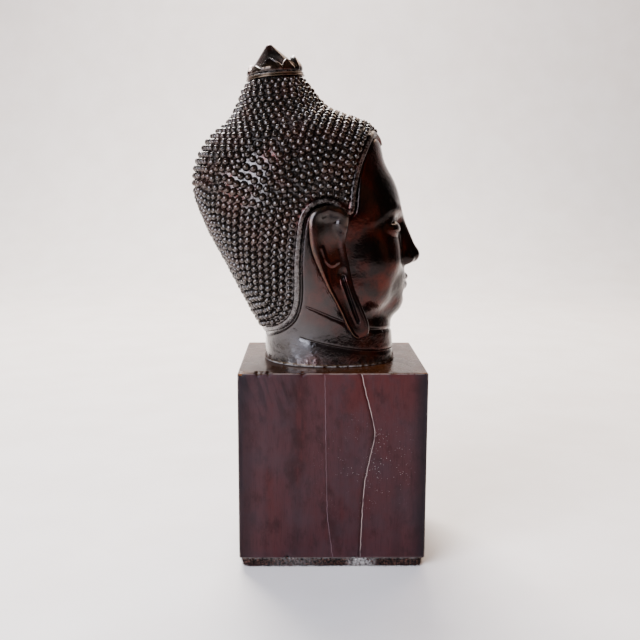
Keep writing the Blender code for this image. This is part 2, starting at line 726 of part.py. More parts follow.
def ear_faces():
    """The outer face of the ear and the face behind it, closed along their edge."""
    runs = np.linspace(0, 1, EAR_ROWS)
    outer = [ear_surface(run, across) for run in runs for across in EAR_COLUMNS]
    inner = []
    for point, (run, across) in zip(outer, ((run, across) for run in runs for across in EAR_COLUMNS)):
        rooted = (1 - ease(run, *EAR_FREE_FROM)) * ease(across, *EAR_ROOT)
        level = point[0] if rooted == 0 else min(point[0], ear_surface(run, 0.2)[0])
        inner.append(np.array([level - EAR_THICKNESS - EAR_ROOT_DEPTH * rooted, point[1], point[2]]))
    width = len(EAR_COLUMNS)
    count = len(outer)
    faces = []
    for row in range(EAR_ROWS - 1):
        for column in range(width - 1):
            corner = row * width + column
            face = [corner, corner + 1, corner + 1 + width, corner + width]
            faces.append(face)
            faces.append([count + index for index in reversed(face)])
    edge = ([column for column in range(width)] + [row * width + width - 1 for row in range(1, EAR_ROWS)]
            + [(EAR_ROWS - 1) * width + column for column in range(width - 2, -1, -1)]
            + [row * width for row in range(EAR_ROWS - 2, 0, -1)])
    for start, end in zip(edge, edge[1:] + edge[:1]):
        faces.append([start, end, count + end, count + start])
    return np.array(outer + inner), faces


def ease(value, start, end):
    share = min(max((value - start) / (end - start), 0), 1)
    return share * share * (3 - 2 * share)


# Ring, petals and bud ------------------------------------------------------------------------------------

def finial_faces():
    """Ring, eight petals and the bud as one turned form whose radius swells into the petals."""
    columns = PETALS * PETAL_COLUMNS
    points = []
    for lean, between, on_petal, half_width in FINIAL_ROWS:
        lean = math.radians(lean)
        for step in range(columns):
            turn = 2 * math.pi * step / columns
            off_petal = abs(step % PETAL_COLUMNS - PETAL_COLUMNS / 2) * 2 / PETAL_COLUMNS
            height, radius = on_petal if off_petal <= half_width else between
            side, ahead = radius * math.sin(turn), radius * math.cos(turn)
            points.append((side,
                           ahead * math.cos(lean) - height * math.sin(lean),
                           ahead * math.sin(lean) + height * math.cos(lean)))
    faces = []
    for low in range(0, len(points) - columns, columns):
        for step in range(columns):
            after = (step + 1) % columns
            faces.append([low + step, low + after, low + after + columns, low + step + columns])
    faces.append(list(range(columns - 1, -1, -1)))
    faces.append(list(range(len(points) - columns, len(points))))
    return np.array(points) + FINIAL_CENTRE, faces


# Materials, block and felt, and the whole ------------------------------------------------------------------

def material(name, color, roughness, metallic):
    made = bpy.data.materials.new(name)
    made.use_nodes = True
    shader = made.node_tree.nodes["Principled BSDF"]
    shader.inputs["Base Color"].default_value = (*color, 1)
    shader.inputs["Roughness"].default_value = roughness
    shader.inputs["Metallic"].default_value = metallic
    return made


def box(name, size, middle_height, finish, collection):
    """A box centred on the Z axis, its sizes in millimetres."""
    mesh = bpy.data.meshes.new(name)
    body = bmesh.new()
    bmesh.ops.create_cube(body, size=1)
    bmesh.ops.scale(body, vec=[side * MM for side in size], verts=body.verts)
    body.to_mesh(mesh)
    body.free()
    mesh.materials.append(finish)
    part = bpy.data.objects.new(name, mesh)
    part.location.z = middle_height * MM
    collection.objects.link(part)
    return part


def join(target, tool):
    """Unite a closed helper with its target."""
    modifier = target.modifiers.new(tool.name, "BOOLEAN")
    modifier.operation = "UNION"
    modifier.solver = "EXACT"
    modifier.object = tool


def mirror(part):
    modifier = part.modifiers.new("other side", "MIRROR")
    modifier.merge_threshold = 0.00001
    return modifier


def build():
    for old in list(bpy.data.objects):
        bpy.data.objects.remove(old)
    whole = bpy.data.collections.new("Buddha head on block")
    helpers = bpy.data.collections.new("Joined shapes")
    helpers.hide_render = True
    for collection in (whole, helpers):
        bpy.context.scene.collection.children.link(collection)

    bronze = material("Dark bronze", (0.035, 0.028, 0.024), 0.25, 0.9)
    wood = material("Stained wood", (0.05, 0.022, 0.022), 0.45, 0.0)
    felt = material("Brown felt", (0.012, 0.007, 0.006), 1.0, 0.0)

    head_part = mesh_object("bronze_head", *half_head(), bronze, whole)
    mirror(head_part)
    ears = mesh_object("ears", *ear_faces(), bronze, helpers)
    mirror(ears).use_mirror_merge = False
    finial = mesh_object("finial", *finial_faces(), bronze, helpers)
    for helper in (ears, finial):
        helper.hide_render = True
        helper.display_type = "WIRE"
        join(head_part, helper)

    block = box("wood_block", (BLOCK_WIDTH, BLOCK_DEPTH, BLOCK_HEIGHT), FELT_THICKNESS + BLOCK_HEIGHT / 2,
                wood, whole)
    edges = block.modifiers.new("worn edges", "BEVEL")
    edges.width = BLOCK_EDGE * MM
    edges.segments = 1
    felt_height = FELT_THICKNESS - PIECE_GAP
    box("felt_pad", (BLOCK_WIDTH - 2 * FELT_INSET, BLOCK_DEPTH - 2 * FELT_INSET, felt_height),
        felt_height / 2, felt, whole)


CREASE_PATHS = [onto_neck(smooth_path(np.array(path), CREASE_STEP)) for path in NECK_CREASES]
BORDER_PATH = onto_head(smooth_path(BORDER, PATH_STEP), RAY_STEPS)
BORDER_PATH[[0, -1], 0] = 0

if __name__ == "__main__":
    build()
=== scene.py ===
"""Bronze buddha head on a dark wooden block with a felt underside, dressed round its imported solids.

Sculpting is in millimetres: x to the head's side, y ahead of it, z up from the felt's underside.
"""
import logging
import math
from dataclasses import dataclass, field
from enum import Enum
from typing import Any, Sequence

import bmesh
import bpy
import numpy as np
from mathutils import Matrix, Vector
from mathutils.geometry import delaunay_2d_cdt
from mathutils.kdtree import KDTree


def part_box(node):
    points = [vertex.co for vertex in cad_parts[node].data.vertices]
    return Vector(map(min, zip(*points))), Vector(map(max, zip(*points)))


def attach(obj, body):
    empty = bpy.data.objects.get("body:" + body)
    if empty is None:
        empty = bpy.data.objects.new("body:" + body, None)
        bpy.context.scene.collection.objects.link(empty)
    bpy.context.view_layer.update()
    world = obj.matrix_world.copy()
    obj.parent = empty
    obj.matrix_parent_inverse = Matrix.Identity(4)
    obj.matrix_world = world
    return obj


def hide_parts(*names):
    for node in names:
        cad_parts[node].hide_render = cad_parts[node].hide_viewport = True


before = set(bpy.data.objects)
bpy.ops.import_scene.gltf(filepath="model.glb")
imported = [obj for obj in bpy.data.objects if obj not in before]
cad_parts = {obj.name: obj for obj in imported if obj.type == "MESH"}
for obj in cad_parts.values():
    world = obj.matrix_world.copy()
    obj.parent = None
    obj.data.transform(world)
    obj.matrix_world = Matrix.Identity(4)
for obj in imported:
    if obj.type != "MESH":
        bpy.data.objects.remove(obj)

Array = np.ndarray
Faces = list[Sequence[int]]
MM = 0.001
BODY = "root"
log = logging.getLogger("buddha head")


# Sculpting in distance fields -------------------------------------------------------------------------

def length(vectors: Array) -> Array:
    """Lengths of vectors in an array's last axis."""
    return np.sqrt((vectors * vectors).sum(-1))


def ellipsoid(points: Array, centre: Sequence[float], radii: Sequence[float]) -> Array:
    """Distance to an ellipsoid, close to true near its surface.

    Args:
        points: places to measure from.
        centre: the ellipsoid's centre.
        radii: its three half sizes.

    Returns:
        One distance per point, negative inside.
    """
    offset = points - np.array(centre)
    spread = np.array(radii)
    near = length(offset / spread)
    return near * (near - 1) / (length(offset / spread**2) + 1e-9)


def stroke(points: Array, path: Sequence[Sequence[float]], radii: Sequence[float]) -> Array:
    """Distance to a chain of tapered round bars.

    Args:
        points: places to measure from.
        path: the chain's joints.
        radii: the radius at each joint.

    Returns:
        One distance per point, negative inside.
    """
    nearest = None
    for start, end, thick, thin in zip(path[:-1], path[1:], radii[:-1], radii[1:]):
        start = np.array(start)
        along = np.array(end) - start
        share = np.clip((points - start) @ along / (along @ along), 0, 1)
        gap = length(points - start - share[..., None] * along) - thick - (thin - thick) * share
        nearest = gap if nearest is None else np.minimum(nearest, gap)
    return nearest


def add(shape: Array, clay: Array, softness: float) -> Array:
    """Join two distance fields with a soft fillet."""
    share = np.clip(0.5 + 0.5 * (clay - shape) / softness, 0, 1)
    return clay * (1 - share) + shape * share - softness * share * (1 - share)


def carve(shape: Array, tool: Array, softness: float) -> Array:
    """Cut one distance field out of another with a soft edge."""
    return -add(-shape, tool, softness)


def swell(value: Array | float, centre: float, reach: float) -> Array:
    """A soft bump that is 1 at its centre and 0 beyond its reach."""
    return np.clip(1 - ((np.asarray(value) - centre) / reach)**2, 0, 1)**2


def ease(value: Array | float, start: float, end: float) -> Array:
    """A soft step from 0 at the start to 1 at the end."""
    share = np.clip((np.asarray(value) - start) / (end - start), 0, 1)
    return share * share * (3 - 2 * share)


def resample(path: Array, step: float) -> Array:
    """Evenly spaced points along a path, its two ends included.

    Args:
        path: its points.
        step: how far apart the new ones lie, or nearly.

    Returns:
        The new points.
    """
    run = np.concatenate([[0], np.cumsum(length(np.diff(path, axis=0)))])
    even = np.linspace(0, run[-1], max(2, round(run[-1] / step) + 1))
    return np.stack([np.interp(even, run, column) for column in path.T], axis=-1)


def smooth_path(corners: Array, step: float) -> Array:
    """Evenly spaced points of a Catmull-Rom curve.

    Args:
        corners: points that the curve passes through.
        step: spacing of the points it returns.

    Returns:
        The curve's points, from the first corner to the last.
    """
    ends = np.vstack([2 * corners[0] - corners[1], corners, 2 * corners[-1] - corners[-2]])
    share = np.linspace(0, 1, 24, endpoint=False)[:, None]
    pieces = []
    for before, start, end, after in zip(ends, ends[1:], ends[2:], ends[3:]):
        pieces.append(0.5 * (2 * start + (end - before) * share
                             + (2 * before - 5 * start + 4 * end - after) * share**2
                             + (3 * start - before - 3 * end + after) * share**3))
    return resample(np.vstack([*pieces, corners[-1:]]), step)


def distances(points: Array, others: Array) -> Array:
    """Distance from each point to the nearest of the others.

    Args:
        points: where to measure from.
        others: what to measure to.

    Returns:
        One distance for each point.
    """
    tree = KDTree(len(others))
    for number, other in enumerate(others.tolist()):
        tree.insert(other, number)
    tree.balance()
    return np.array([tree.find(point)[2] for point in points.tolist()])


def far_from(points: Array, others: Array, distance: float) -> Array:
    """The points that keep a distance from all the others."""
    return points[distances(points, others) >= distance]


# The head's form -----------------------------------------------------------------------------------------

@dataclass
class HeadForm:
    """The bald head as a distance field, the same on both sides, and rays that find its surface."""

    # Height, front, back and half width of level sections through neck, skull and top-knot.
    sections: tuple[tuple[float, ...], ...] = (
        (107.5, 35.6, -37.5, 31.5), (124.0, 34.0, -37.2, 30.0), (131.0, 33.0, -40.5, 30.4),
        (145.5, 24.0, -48.0, 33.0), (164.0, 18.0, -57.6, 36.2), (181.5, 20.0, -67.0, 38.4),
        (194.0, 24.0, -72.0, 39.4), (204.0, 26.0, -74.6, 39.6), (214.5, 27.4, -73.4, 38.6),
        (222.5, 27.6, -69.8, 36.4), (229.5, 25.6, -64.8, 33.2), (235.5, 20.6, -56.4, 29.6),
        (239.0, 10.4, -53.8, 27.0), (241.5, 1.2, -52.4, 24.8), (244.5, -4.4, -50.4, 22.4),
        (250.0, -9.0, -48.6, 19.6), (258.0, -15.4, -45.2, 15.2), (262.0, -18.0, -43.4, 12.8),
        (268.0, -19.5, -42.0, 11.8),
    )
    section_step: float = 0.5
    section_blur: int = 17
    section_power: float = 2.15
    slope_step: float = 0.5
    # Creases round the neck, from behind to the front.
    creases: tuple[tuple[tuple[float, float, float], ...], ...] = (
        ((31.9, -14.2, 140.5), (31.5, -7.8, 137.8), (29.6, 3.4, 132.7), (25.0, 18.0, 127.4),
         (0.0, 34.2, 124.4)),
        ((27.6, -17.4, 123.1), (29.8, -9.4, 120.8), (30.0, 6.7, 117.3), (22.0, 24.0, 114.6),
         (0.0, 35.0, 113.6)),
    )
    crease_radius: float = 0.5
    crease_step: float = 5.0
    # Share of the radius at each step from a crease's thin end.
    crease_taper: tuple[float, ...] = (0.1, 0.5, 0.85)
    heart: tuple[float, float, float] = (0.0, -10.0, 175.0)
    lean: float = math.radians(13.8)
    ray_length: float = 125.0
    ray_steps: int = 44
    caution: float = 0.72
    walk_step: float = 0.75
    crease_paths: list[Array] = field(default_factory=list)

    def __post_init__(self) -> None:
        """Ease the sections into one table and lay the creases on the neck."""
        table = np.array(self.sections)
        self.heights = np.arange(table[0, 0], table[-1, 0], self.section_step)
        window = np.hanning(self.section_blur + 2)[1:-1]
        margin = self.section_blur // 2
        self.fronts, self.backs, self.widths = (
            np.convolve(np.pad(np.interp(self.heights, table[:, 0], column), margin, mode="edge"),
                        window / window.sum(), "valid")
            for column in table.T[1:])
        for path in self.creases:
            path = smooth_path(np.array(path), self.crease_step)
            middle, share = self.level_share(path)
            path[:, 0] /= share
            path[:, 1] = middle + (path[:, 1] - middle) / share
            self.crease_paths.append(path)

    def level_share(self, points: Array) -> tuple[Array, Array]:
        """Middle of the section at each point's height, and the point's share of the way out to the skin.

        Args:
            points: places on or near the head.

        Returns:
            The middles and the shares.
        """
        side, ahead, height = np.moveaxis(points, -1, 0)
        front = np.interp(height, self.heights, self.fronts)
        back = np.interp(height, self.heights, self.backs)
        middle = (front + back) / 2
        across = np.abs(side / np.interp(height, self.heights, self.widths))
        along = np.abs((ahead - middle) / ((front - back) / 2))
        share = (across**self.section_power + along**self.section_power)**(1 / self.section_power)
        return middle, share + 1e-9

    def mass(self, points: Array) -> Array:
        """Neck, skull, top-knot, cheeks, jaw and chin, before any feature.

        Args:
            points: places on or near the head.

        Returns:
            Distances to the form, below nought inside.
        """
        side, ahead, height = np.moveaxis(points, -1, 0)
        gaps = []
        for rise in (0, self.slope_step):
            middle, share = self.level_share(points + (0, 0, rise))
            gaps.append(np.hypot(side, ahead - middle) * (1 - 1 / share))
        slope = (gaps[1] - gaps[0]) / self.slope_step
        skull = np.maximum(gaps[0] / np.sqrt(1 + slope * slope), height - self.sections[-1][0])
        face = ellipsoid(points, (0, 2, 186), (33.8, 37, 43))
        face = add(face, ellipsoid(points, (0, 6.5, 158), (31, 32, 27)), 10)
        face = add(face, ellipsoid(points, (0, 29.5, 140.8), (12.5, 10.6, 10)), 12)
        face = add(face, ellipsoid(points, (16.5, 23.5, 164), (12.5, 12, 14)), 10)
        face = add(face, ellipsoid(points, (18.5, 12, 146.5), (10.5, 16, 10.5)), 10)
        return add(skull, face, 5)

    def with_eyes(self, shape: Array, points: Array) -> Array:
        """Shallow sockets, brow arches that run into the nose, and eyes under lowered lids.

        Args:
            shape: distances to the form, below nought inside.
            points: where they are measured.

        Returns:
            The distances with brows and eyes.
        """
        side, _, height = np.moveaxis(points, -1, 0)
        shape = carve(shape, ellipsoid(points, (14.2, 42.2, 184), (11.6, 7.6, 5.2)), 4.5)
        brow = [(3.4, 36.4, 184.4), (5.4, 36.2, 188.4), (9.5, 35.3, 191.8), (15, 32.6, 193.2),
                (21, 27.9, 191), (27, 20.6, 185.6)]
        shape = add(shape, stroke(points, brow, (1, 1.5, 1.7, 1.7, 1.3, 0.4)), 3.6)
        bow = 1 - np.clip((side - 14) / 8, -1.2, 1.2)**2
        line = 179.8 + 0.05 * (side - 14)
        slit = np.maximum(height - (line - 0.1 * bow), line - 1.6 * bow - height)
        lids = carve(ellipsoid(points, (14, 27.9, 181), (10.2, 9, 6.2)), slit, 0.35)
        ball = ellipsoid(points, (14, 27.9, 180.8), (9.6, 8.5, 5.7))
        shape = add(shape, np.minimum(lids, ball), 1.5)
        crease = [(6, 36.9, 182.2), (9.6, 37.6, 185.2), (14, 37, 186.6), (19, 33.8, 185.4), (23, 29, 182)]
        return carve(shape, stroke(points, crease, (0.3, 0.5, 0.55, 0.5, 0.3)), 1.1)

    def with_nose(self, shape: Array, points: Array) -> Array:
        """Straight bridge, rounded tip, wings and shallow nostrils.

        Args:
            shape: distances to the form, below nought inside.
            points: where they are measured.

        Returns:
            The distances with the nose.
        """
        nose = stroke(points, [(0, 36.4, 188), (0, 44.6, 166.8)], (2.7, 3.8))
        nose = add(nose, ellipsoid(points, (0, 44.6, 165.9), (4.7, 4.6, 4.3)), 2.5)
        nose = add(nose, ellipsoid(points, (5.0, 41.2, 164.4), (3.0, 4.6, 3.6)), 2)
        nose = add(nose, stroke(points, [(2.4, 35.5, 186), (3.6, 40, 167)], (2.6, 3.8)), 3)
        shape = add(shape, nose, 2.8)
        return carve(shape, ellipsoid(points, (2.9, 43.4, 160.4), (1.4, 2.4, 1.5)), 0.9)

    def with_mouth(self, shape: Array, points: Array) -> Array:
        """Full lips that meet in a quiet line, the groove above them and the hollow under them.

        Args:
            shape: distances to the form, below nought inside.
            points: where they are measured.

        Returns:
            The distances with the mouth.
        """
        shape = add(shape, ellipsoid(points, (0, 31.5, 152.5), (16.5, 9.4, 10)), 6)
        shape = carve(shape, ellipsoid(points, (0, 44.6, 145), (9, 4.6, 2.6)), 3)
        shape = carve(shape, stroke(points, [(0, 43.2, 159.2), (0, 42.7, 156.4)], (0.9, 1.1)), 1.6)
        upper = [(0, 40.6, 153), (2.6, 40.9, 153.9), (6.6, 39.4, 153.3), (10.4, 37.4, 152.5),
                 (12.4, 36.2, 152.5)]
        lower = [(0, 40.2, 149.4), (4, 39.8, 149.4), (8, 38.3, 150.2), (11.4, 36.8, 151.7)]
        meeting = [(0, 43.1, 151.5), (4, 42.4, 151.3), (8, 40.7, 151.5), (12, 38.2, 152.5)]
        shape = add(shape, stroke(points, upper, (1.7, 1.9, 1.5, 0.9, 0.4)), 1)
        shape = add(shape, stroke(points, lower, (2.5, 2.3, 1.5, 0.5)), 1.4)
        return carve(shape, stroke(points, meeting, (0.5, 0.5, 0.45, 0.3)), 0.8)

    def distance(self, points: Array, carved: bool = True) -> Array:
        """Distance to the head.

        Args:
            points: places to measure from.
            carved: whether the face's features and the neck's creases are wanted too.

        Returns:
            One distance per point, negative inside.
        """
        shape = self.mass(points)
        if not carved:
            return shape
        shape = shape.copy()
        features = (points[..., 1] > 8) & (points[..., 2] > 134) & (points[..., 2] < 204)
        there = points[features]
        there[..., 0] = np.abs(there[..., 0])
        face = self.with_eyes(shape[features], there)
        face = self.with_nose(face, there)
        shape[features] = self.with_mouth(face, there)
        creased = points[..., 2] < 146
        there = points[creased]
        there[..., 0] = np.abs(there[..., 0])
        neck = shape[creased]
        for path in self.crease_paths:
            shares = [*self.crease_taper, *[1.0] * (len(path) - len(self.crease_taper))]
            neck = carve(neck, stroke(there, path, [self.crease_radius * share for share in shares]), 1.2)
        shape[creased] = neck
        return shape

    def rays(self, chart: Array) -> Array:
        """Unit rays for chart points: azimuth from the front, and height as a Mercator map shows it.

        Args:
            chart: azimuth and height of each point on the chart.

        Returns:
            One ray for each point.
        """
        azimuth, mercator = np.moveaxis(chart, -1, 0)
        lift = 2 * np.arctan(np.exp(mercator)) - math.pi / 2
        ahead, up = np.cos(azimuth) * np.cos(lift), np.sin(lift)
        return np.stack([np.sin(azimuth) * np.cos(lift),
                         ahead * math.cos(self.lean) - up * math.sin(self.lean),
                         ahead * math.sin(self.lean) + up * math.cos(self.lean)], axis=-1)

    def chart_of(self, points: Array) -> Array:
        """Where points lie on the chart.

        Args:
            points: places on or near the head.

        Returns:
            Azimuth and height of each on the chart.
        """
        offset = points - np.array(self.heart)
        side, ahead, up = np.moveaxis(offset / length(offset)[..., None], -1, 0)
        level = ahead * math.cos(self.lean) + up * math.sin(self.lean)
        lift = np.arcsin(np.clip(up * math.cos(self.lean) - ahead * math.sin(self.lean), -1, 1))
        return np.stack([np.arctan2(side, level), np.log(np.tan(math.pi / 4 + lift / 2))], axis=-1)

    def cast(self, rays: Array, start: float | Array | None = None, steps: int = 0, carved: bool = True
             ) -> Array:
        """Where rays from the heart of the head leave it, found from outside.

        Args:
            rays: unit directions.
            start: how far out each search starts.
            steps: how many steps it takes.
            carved: whether the carved head is meant, not its bare mass.

        Returns:
            One surface point per ray.
        """
        start = self.ray_length if start is None else start
        reach = np.broadcast_to(np.asarray(start, dtype=float), rays.shape[:-1]).copy()
        for _ in range(steps or self.ray_steps):
            reach -= self.caution * self.distance(np.array(self.heart) + reach[..., None] * rays, carved)
        return np.array(self.heart) + reach[..., None] * rays

    def onto(self, points: Array, steps: int = 8, carved: bool = True) -> Array:
        """Slide points along their rays onto the surface.

        Args:
            points: places near the surface.
            steps: how many steps they take.
            carved: whether the carved head is meant, not its bare mass.

        Returns:
            The points on the surface.
        """
        offset = points - np.array(self.heart)
        reach = length(offset)
        return self.cast(offset / reach[..., None], reach, steps, carved)

    def normals(self, points: Array, carved: bool = True) -> Array:
        """Outward normals of the distance field.

        Args:
            points: places on or near the head.
            carved: whether the carved head is meant, not its bare mass.

        Returns:
            Unit normals.
        """
        slopes = [self.distance(points + 0.3 * axis, carved) - self.distance(points - 0.3 * axis, carved)
                  for axis in np.eye(3)]
        slopes = np.stack(slopes, axis=-1)
        return slopes / length(slopes)[..., None]

    def walk(self, points: Array, across: Array, distance: float) -> tuple[Array, Array]:
        """Walk straight over the bald head.

        Args:
            points: where the walk starts.
            across: unit directions of the walk.
            distance: its length, negative to walk backwards.

        Returns:
            The points reached and the directions there.
        """
        steps = max(1, round(abs(distance) / self.walk_step))
        for _ in range(steps):
            points = self.onto(points + across * distance / steps, 6, False)
            up = self.normals(points, False)
            across = across - (across * up).sum(-1)[..., None] * up
            across /= length(across)[..., None]
        return points, across

    def seam(self, path: Array, turn: int) -> Array:
        """Level directions across a path on the head.

        Args:
            path: points on the head.
            turn: 1 for the side on the left of the path seen from outside, -1 for the other.

        Returns:
            One unit direction per point.
        """
        across = turn * np.cross(np.gradient(path, axis=0), self.normals(path, False))
        across[[0, -1], 0] = 0
        return across / length(across)[..., None]

    def lattice(self, step: float, low: float = -2.2, high: float = 2.5) -> Array:
        """Chart points in a staggered lattice over half the head.

        Args:
            step: spacing in millimetres at a middling distance from the heart.
            low: lowest Mercator height.
            high: highest Mercator height.

        Returns:
            Azimuth and Mercator height of each point.
        """
        pitch = step / 50
        rows = np.arange(low, high, pitch * 0.866)
        return np.vstack([
            np.stack([turn := np.arange(pitch * (0.5 + row % 2 / 2), math.pi, pitch),
                      np.full_like(turn, mercator)], axis=-1)
            for row, mercator in enumerate(rows)])


# Nodes, finishes and meshes ------------------------------------------------------------------------------

def linear(color: str) -> tuple[float, float, float, float]:
    """Linear colour of an sRGB hex value.

    Args:
        color: text such as #201b18.

    Returns:
        Red, green, blue and full alpha.
    """
    parts = [int(color[at:at + 2], 16) / 255 for at in (1, 3, 5)]
    red, green, blue = (part / 12.92 if part <= 0.04045 else ((part + 0.055) / 1.055)**2.4 for part in parts)
    return red, green, blue, 1.0


def connect(node: bpy.types.Node, inputs: dict[str | int, Any]) -> None:
    """Set a node's inputs, or link them to sockets; text that starts with # is a colour.

    Args:
        node: the node.
        inputs: a value or a socket for each input's name or number.
    """
    for name, value in inputs.items():
        if isinstance(value, bpy.types.NodeSocket):
            node.id_data.links.new(value, node.inputs[name])
        else:
            node.inputs[name].default_value = linear(value) if str(value).startswith("#") else value


def add_node(tree: bpy.types.NodeTree, kind: str, inputs: dict[str | int, Any] | None = None,
             output: str | int = 0, **settings: Any) -> bpy.types.NodeSocket:
    """Add a node with its settings and links.

    Args:
        tree: the tree it goes into.
        kind: the node's type name.
        inputs: a value, colour or socket for each named or numbered input.
        output: name or number of the output that is wanted.
        settings: the node's own properties.

    Returns:
        That output.
    """
    made = tree.nodes.new(kind)
    for name, value in settings.items():
        setattr(made, name, value)
    connect(made, inputs or {})
    return made.outputs[output]


@dataclass
class Undercoat:
    """A new material: its tree, its shader and the place of each point on the object, in metres."""

    name: str

    def __post_init__(self) -> None:
        """Make the material with its plain shader."""
        self.material = bpy.data.materials.new(self.name)
        self.material.use_nodes = True
        self.tree = self.material.node_tree
        self.shader = self.tree.nodes["Principled BSDF"]
        self.place = add_node(self.tree, "ShaderNodeTexCoord", output="Object")

    def add(self, kind: str, inputs: dict[str | int, Any] | None = None, output: str | int = 0,
            **settings: Any) -> bpy.types.NodeSocket:
        """Add a node to this material."""
        return add_node(self.tree, "ShaderNode" + kind, inputs, output, **settings)

    def product(self, *values: Any) -> bpy.types.NodeSocket:
        """Multiply values, kept from 0 to 1.

        Args:
            values: numbers or sockets.

        Returns:
            The product's socket.
        """
        made = values[0]
        for value in values[1:]:
            made = self.add("Math", {0: made, 1: value}, operation="MULTIPLY", use_clamp=True)
        return made

    def near(self, spot: Sequence[float], reach: float) -> bpy.types.NodeSocket:
        """A value that falls from 1 at a spot to 0 at its reach.

        Args:
            spot: the place, in metres.
            reach: how far it goes, in metres.

        Returns:
            The value's socket.
        """
        gap = self.add("VectorMath", {0: self.place, 1: tuple(spot)}, "Value", operation="DISTANCE")
        return self.add("MapRange", {"Value": gap, "From Min": reach, "From Max": 0.0},
                        interpolation_type="SMOOTHSTEP")

    def patches(self, size: float, low: float, high: float, most: float = 1.0, detail: float = 3.0,
                along: Sequence[float] = (1, 1, 1), roughness: float = 0.55,
                turn: Sequence[float] = (0, 0, 0)) -> bpy.types.NodeSocket:
        """Soft blotches of a real size.

        Args:
            size: how far apart they lie, in millimetres.
            low: noise below this gives none.
            high: noise above this gives most.
            most: the value inside a blotch.
            detail: octaves of finer noise.
            along: how many times longer they are along each axis.
            roughness: how strong the finer noise is.
            turn: how the blotches' axes are turned, in radians.

        Returns:
            A value from 0 to most.
        """
        scale = [size * MM * stretch for stretch in along]
        place = self.add("Mapping", {"Vector": self.place, "Rotation": tuple(turn), "Scale": scale},
                         vector_type="TEXTURE")
        noise = self.add("TexNoise", {"Vector": place, "Scale": 1.0, "Detail": detail,
                                      "Roughness": roughness}, "Fac")
        return self.add("MapRange", {"Value": noise, "From Min": low, "From Max": high, "To Max": most},
                        interpolation_type="SMOOTHSTEP")

    def coats(self, color: Any, *layers: tuple[Any, Any]) -> bpy.types.NodeSocket:
        """Lay colours over each other.

        Args:
            color: the first colour.
            layers: how much of each next colour shows, and that colour.

        Returns:
            The colour on top.
        """
        for share, over in layers:
            color = self.add("Mix", {0: share, 6: color, 7: over}, 2, data_type="RGBA")
        return color


@dataclass(frozen=True)
class PatinatedBronze:
    """Cast bronze, chemically browned and waxed: near black and glossy; warmer and redder towards the face,
    partly where the brown is thin and partly a painted red reflection, and greyer on the back, partly wax and
    partly a painted grey sheen.

    The mesh carries two numbers: wear, where rubbing has bared the metal, and dust, where pale wax lies.
    """

    name: str = "Waxed brown bronze"
    brown: str = "#1a1210"
    thin_brown_and_red_reflection: str = "#3d140b"
    waxed: str = "#2b2625"
    black: str = "#0a0808"
    metal: str = "#9a7b52"
    dust: str = "#8d8782"
    gloss: float = 0.13
    satin: float = 0.27
    grain: float = 0.9
    metallic: tuple[float, float] = (0.9, 0.5)
    wax: tuple[float, float] = (0.1, 1.0)
    waves: float = 0.5
    # Centre and reach, in metres, of the back part that has held its wax, its waxed colour partly a painted
    # grey sheen;
    # away from it more metal shows through, and the thin brown is partly a painted red reflection.
    kept_wax_and_sheen: tuple[tuple[float, float, float], float] = ((0.0, 0.036, 0.135), 0.078)

    def material(self) -> bpy.types.Material:
        """Build the patina: mottled brown, a painted grey sheen on the back and a painted red reflection
        towards the face, black in the grain, then bare metal and dust.

        Returns:
            The material.
        """
        coat = Undercoat(self.name)
        grain = coat.patches(self.grain, 0.35, 0.68, detail=4, roughness=0.65)
        rubbed = coat.product(coat.add("Attribute", output="Fac", attribute_name="wear"),
                              coat.patches(1.3, 0.32, 0.56, detail=4))
        dusty = coat.product(coat.add("Attribute", output="Fac", attribute_name="dust"),
                             coat.patches(1.8, 0.36, 0.6, detail=5, roughness=0.7))
        kept_wax_and_sheen = coat.near(*self.kept_wax_and_sheen)
        # Thin brown, stronger towards the face: partly thin patina, partly a painted red reflection of warm
        # surroundings.
        thin = coat.product(coat.patches(16, 0.42, 0.68, detail=4),
                            coat.add("MapRange", {"Value": kept_wax_and_sheen, "From Max": 0.7, "To Min": 1.0,
                                                  "To Max": 0.15}))
        # The waxed colour on the back is partly wax and partly a painted grey sheen.
        color = coat.coats(self.brown, (coat.product(kept_wax_and_sheen, 0.6), self.waxed), (thin, self.thin_brown_and_red_reflection),
                           (coat.patches(1.6, 0.5, 0.72, 0.6), self.black), (rubbed, self.metal),
                           (dusty, self.dust))
        rough = coat.add("MapRange", {"Value": coat.patches(6, 0.3, 0.7, along=(1, 1, 2.5)),
                                      "To Min": self.gloss, "To Max": self.satin})
        rough = coat.add("Math", {0: rough, 1: coat.product(dusty, 1.3)}, operation="MAXIMUM")
        relief = coat.add("Bump", {"Height": grain, "Distance": 0.035 * MM, "Strength": 0.4})
        relief = coat.add("Bump", {"Height": coat.patches(5, 0.3, 0.7, detail=4), "Distance": 0.22 * MM,
                                   "Strength": self.waves, "Normal": relief})
        metallic = coat.add("MapRange", {"Value": kept_wax_and_sheen, "To Min": self.metallic[0],
                                         "To Max": self.metallic[1]})
        metallic = coat.add("Math", {0: metallic, 1: rubbed}, operation="MAXIMUM")
        metallic = coat.add("Math", {0: metallic, 1: dusty}, operation="SUBTRACT", use_clamp=True)
        wax = coat.add("MapRange", {"Value": kept_wax_and_sheen, "To Min": self.wax[0], "To Max": self.wax[1]})
        wax = coat.product(wax, coat.add("MapRange", {"Value": dusty, "From Max": 0.35, "To Min": 1.0,
                                                      "To Max": 0.0}))
        connect(coat.shader, {"Base Color": color, "Metallic": metallic, "Roughness": rough, "Normal": relief,
                              "Coat Weight": wax, "Coat Roughness": 0.08, "Coat Normal": relief})
        return coat.material


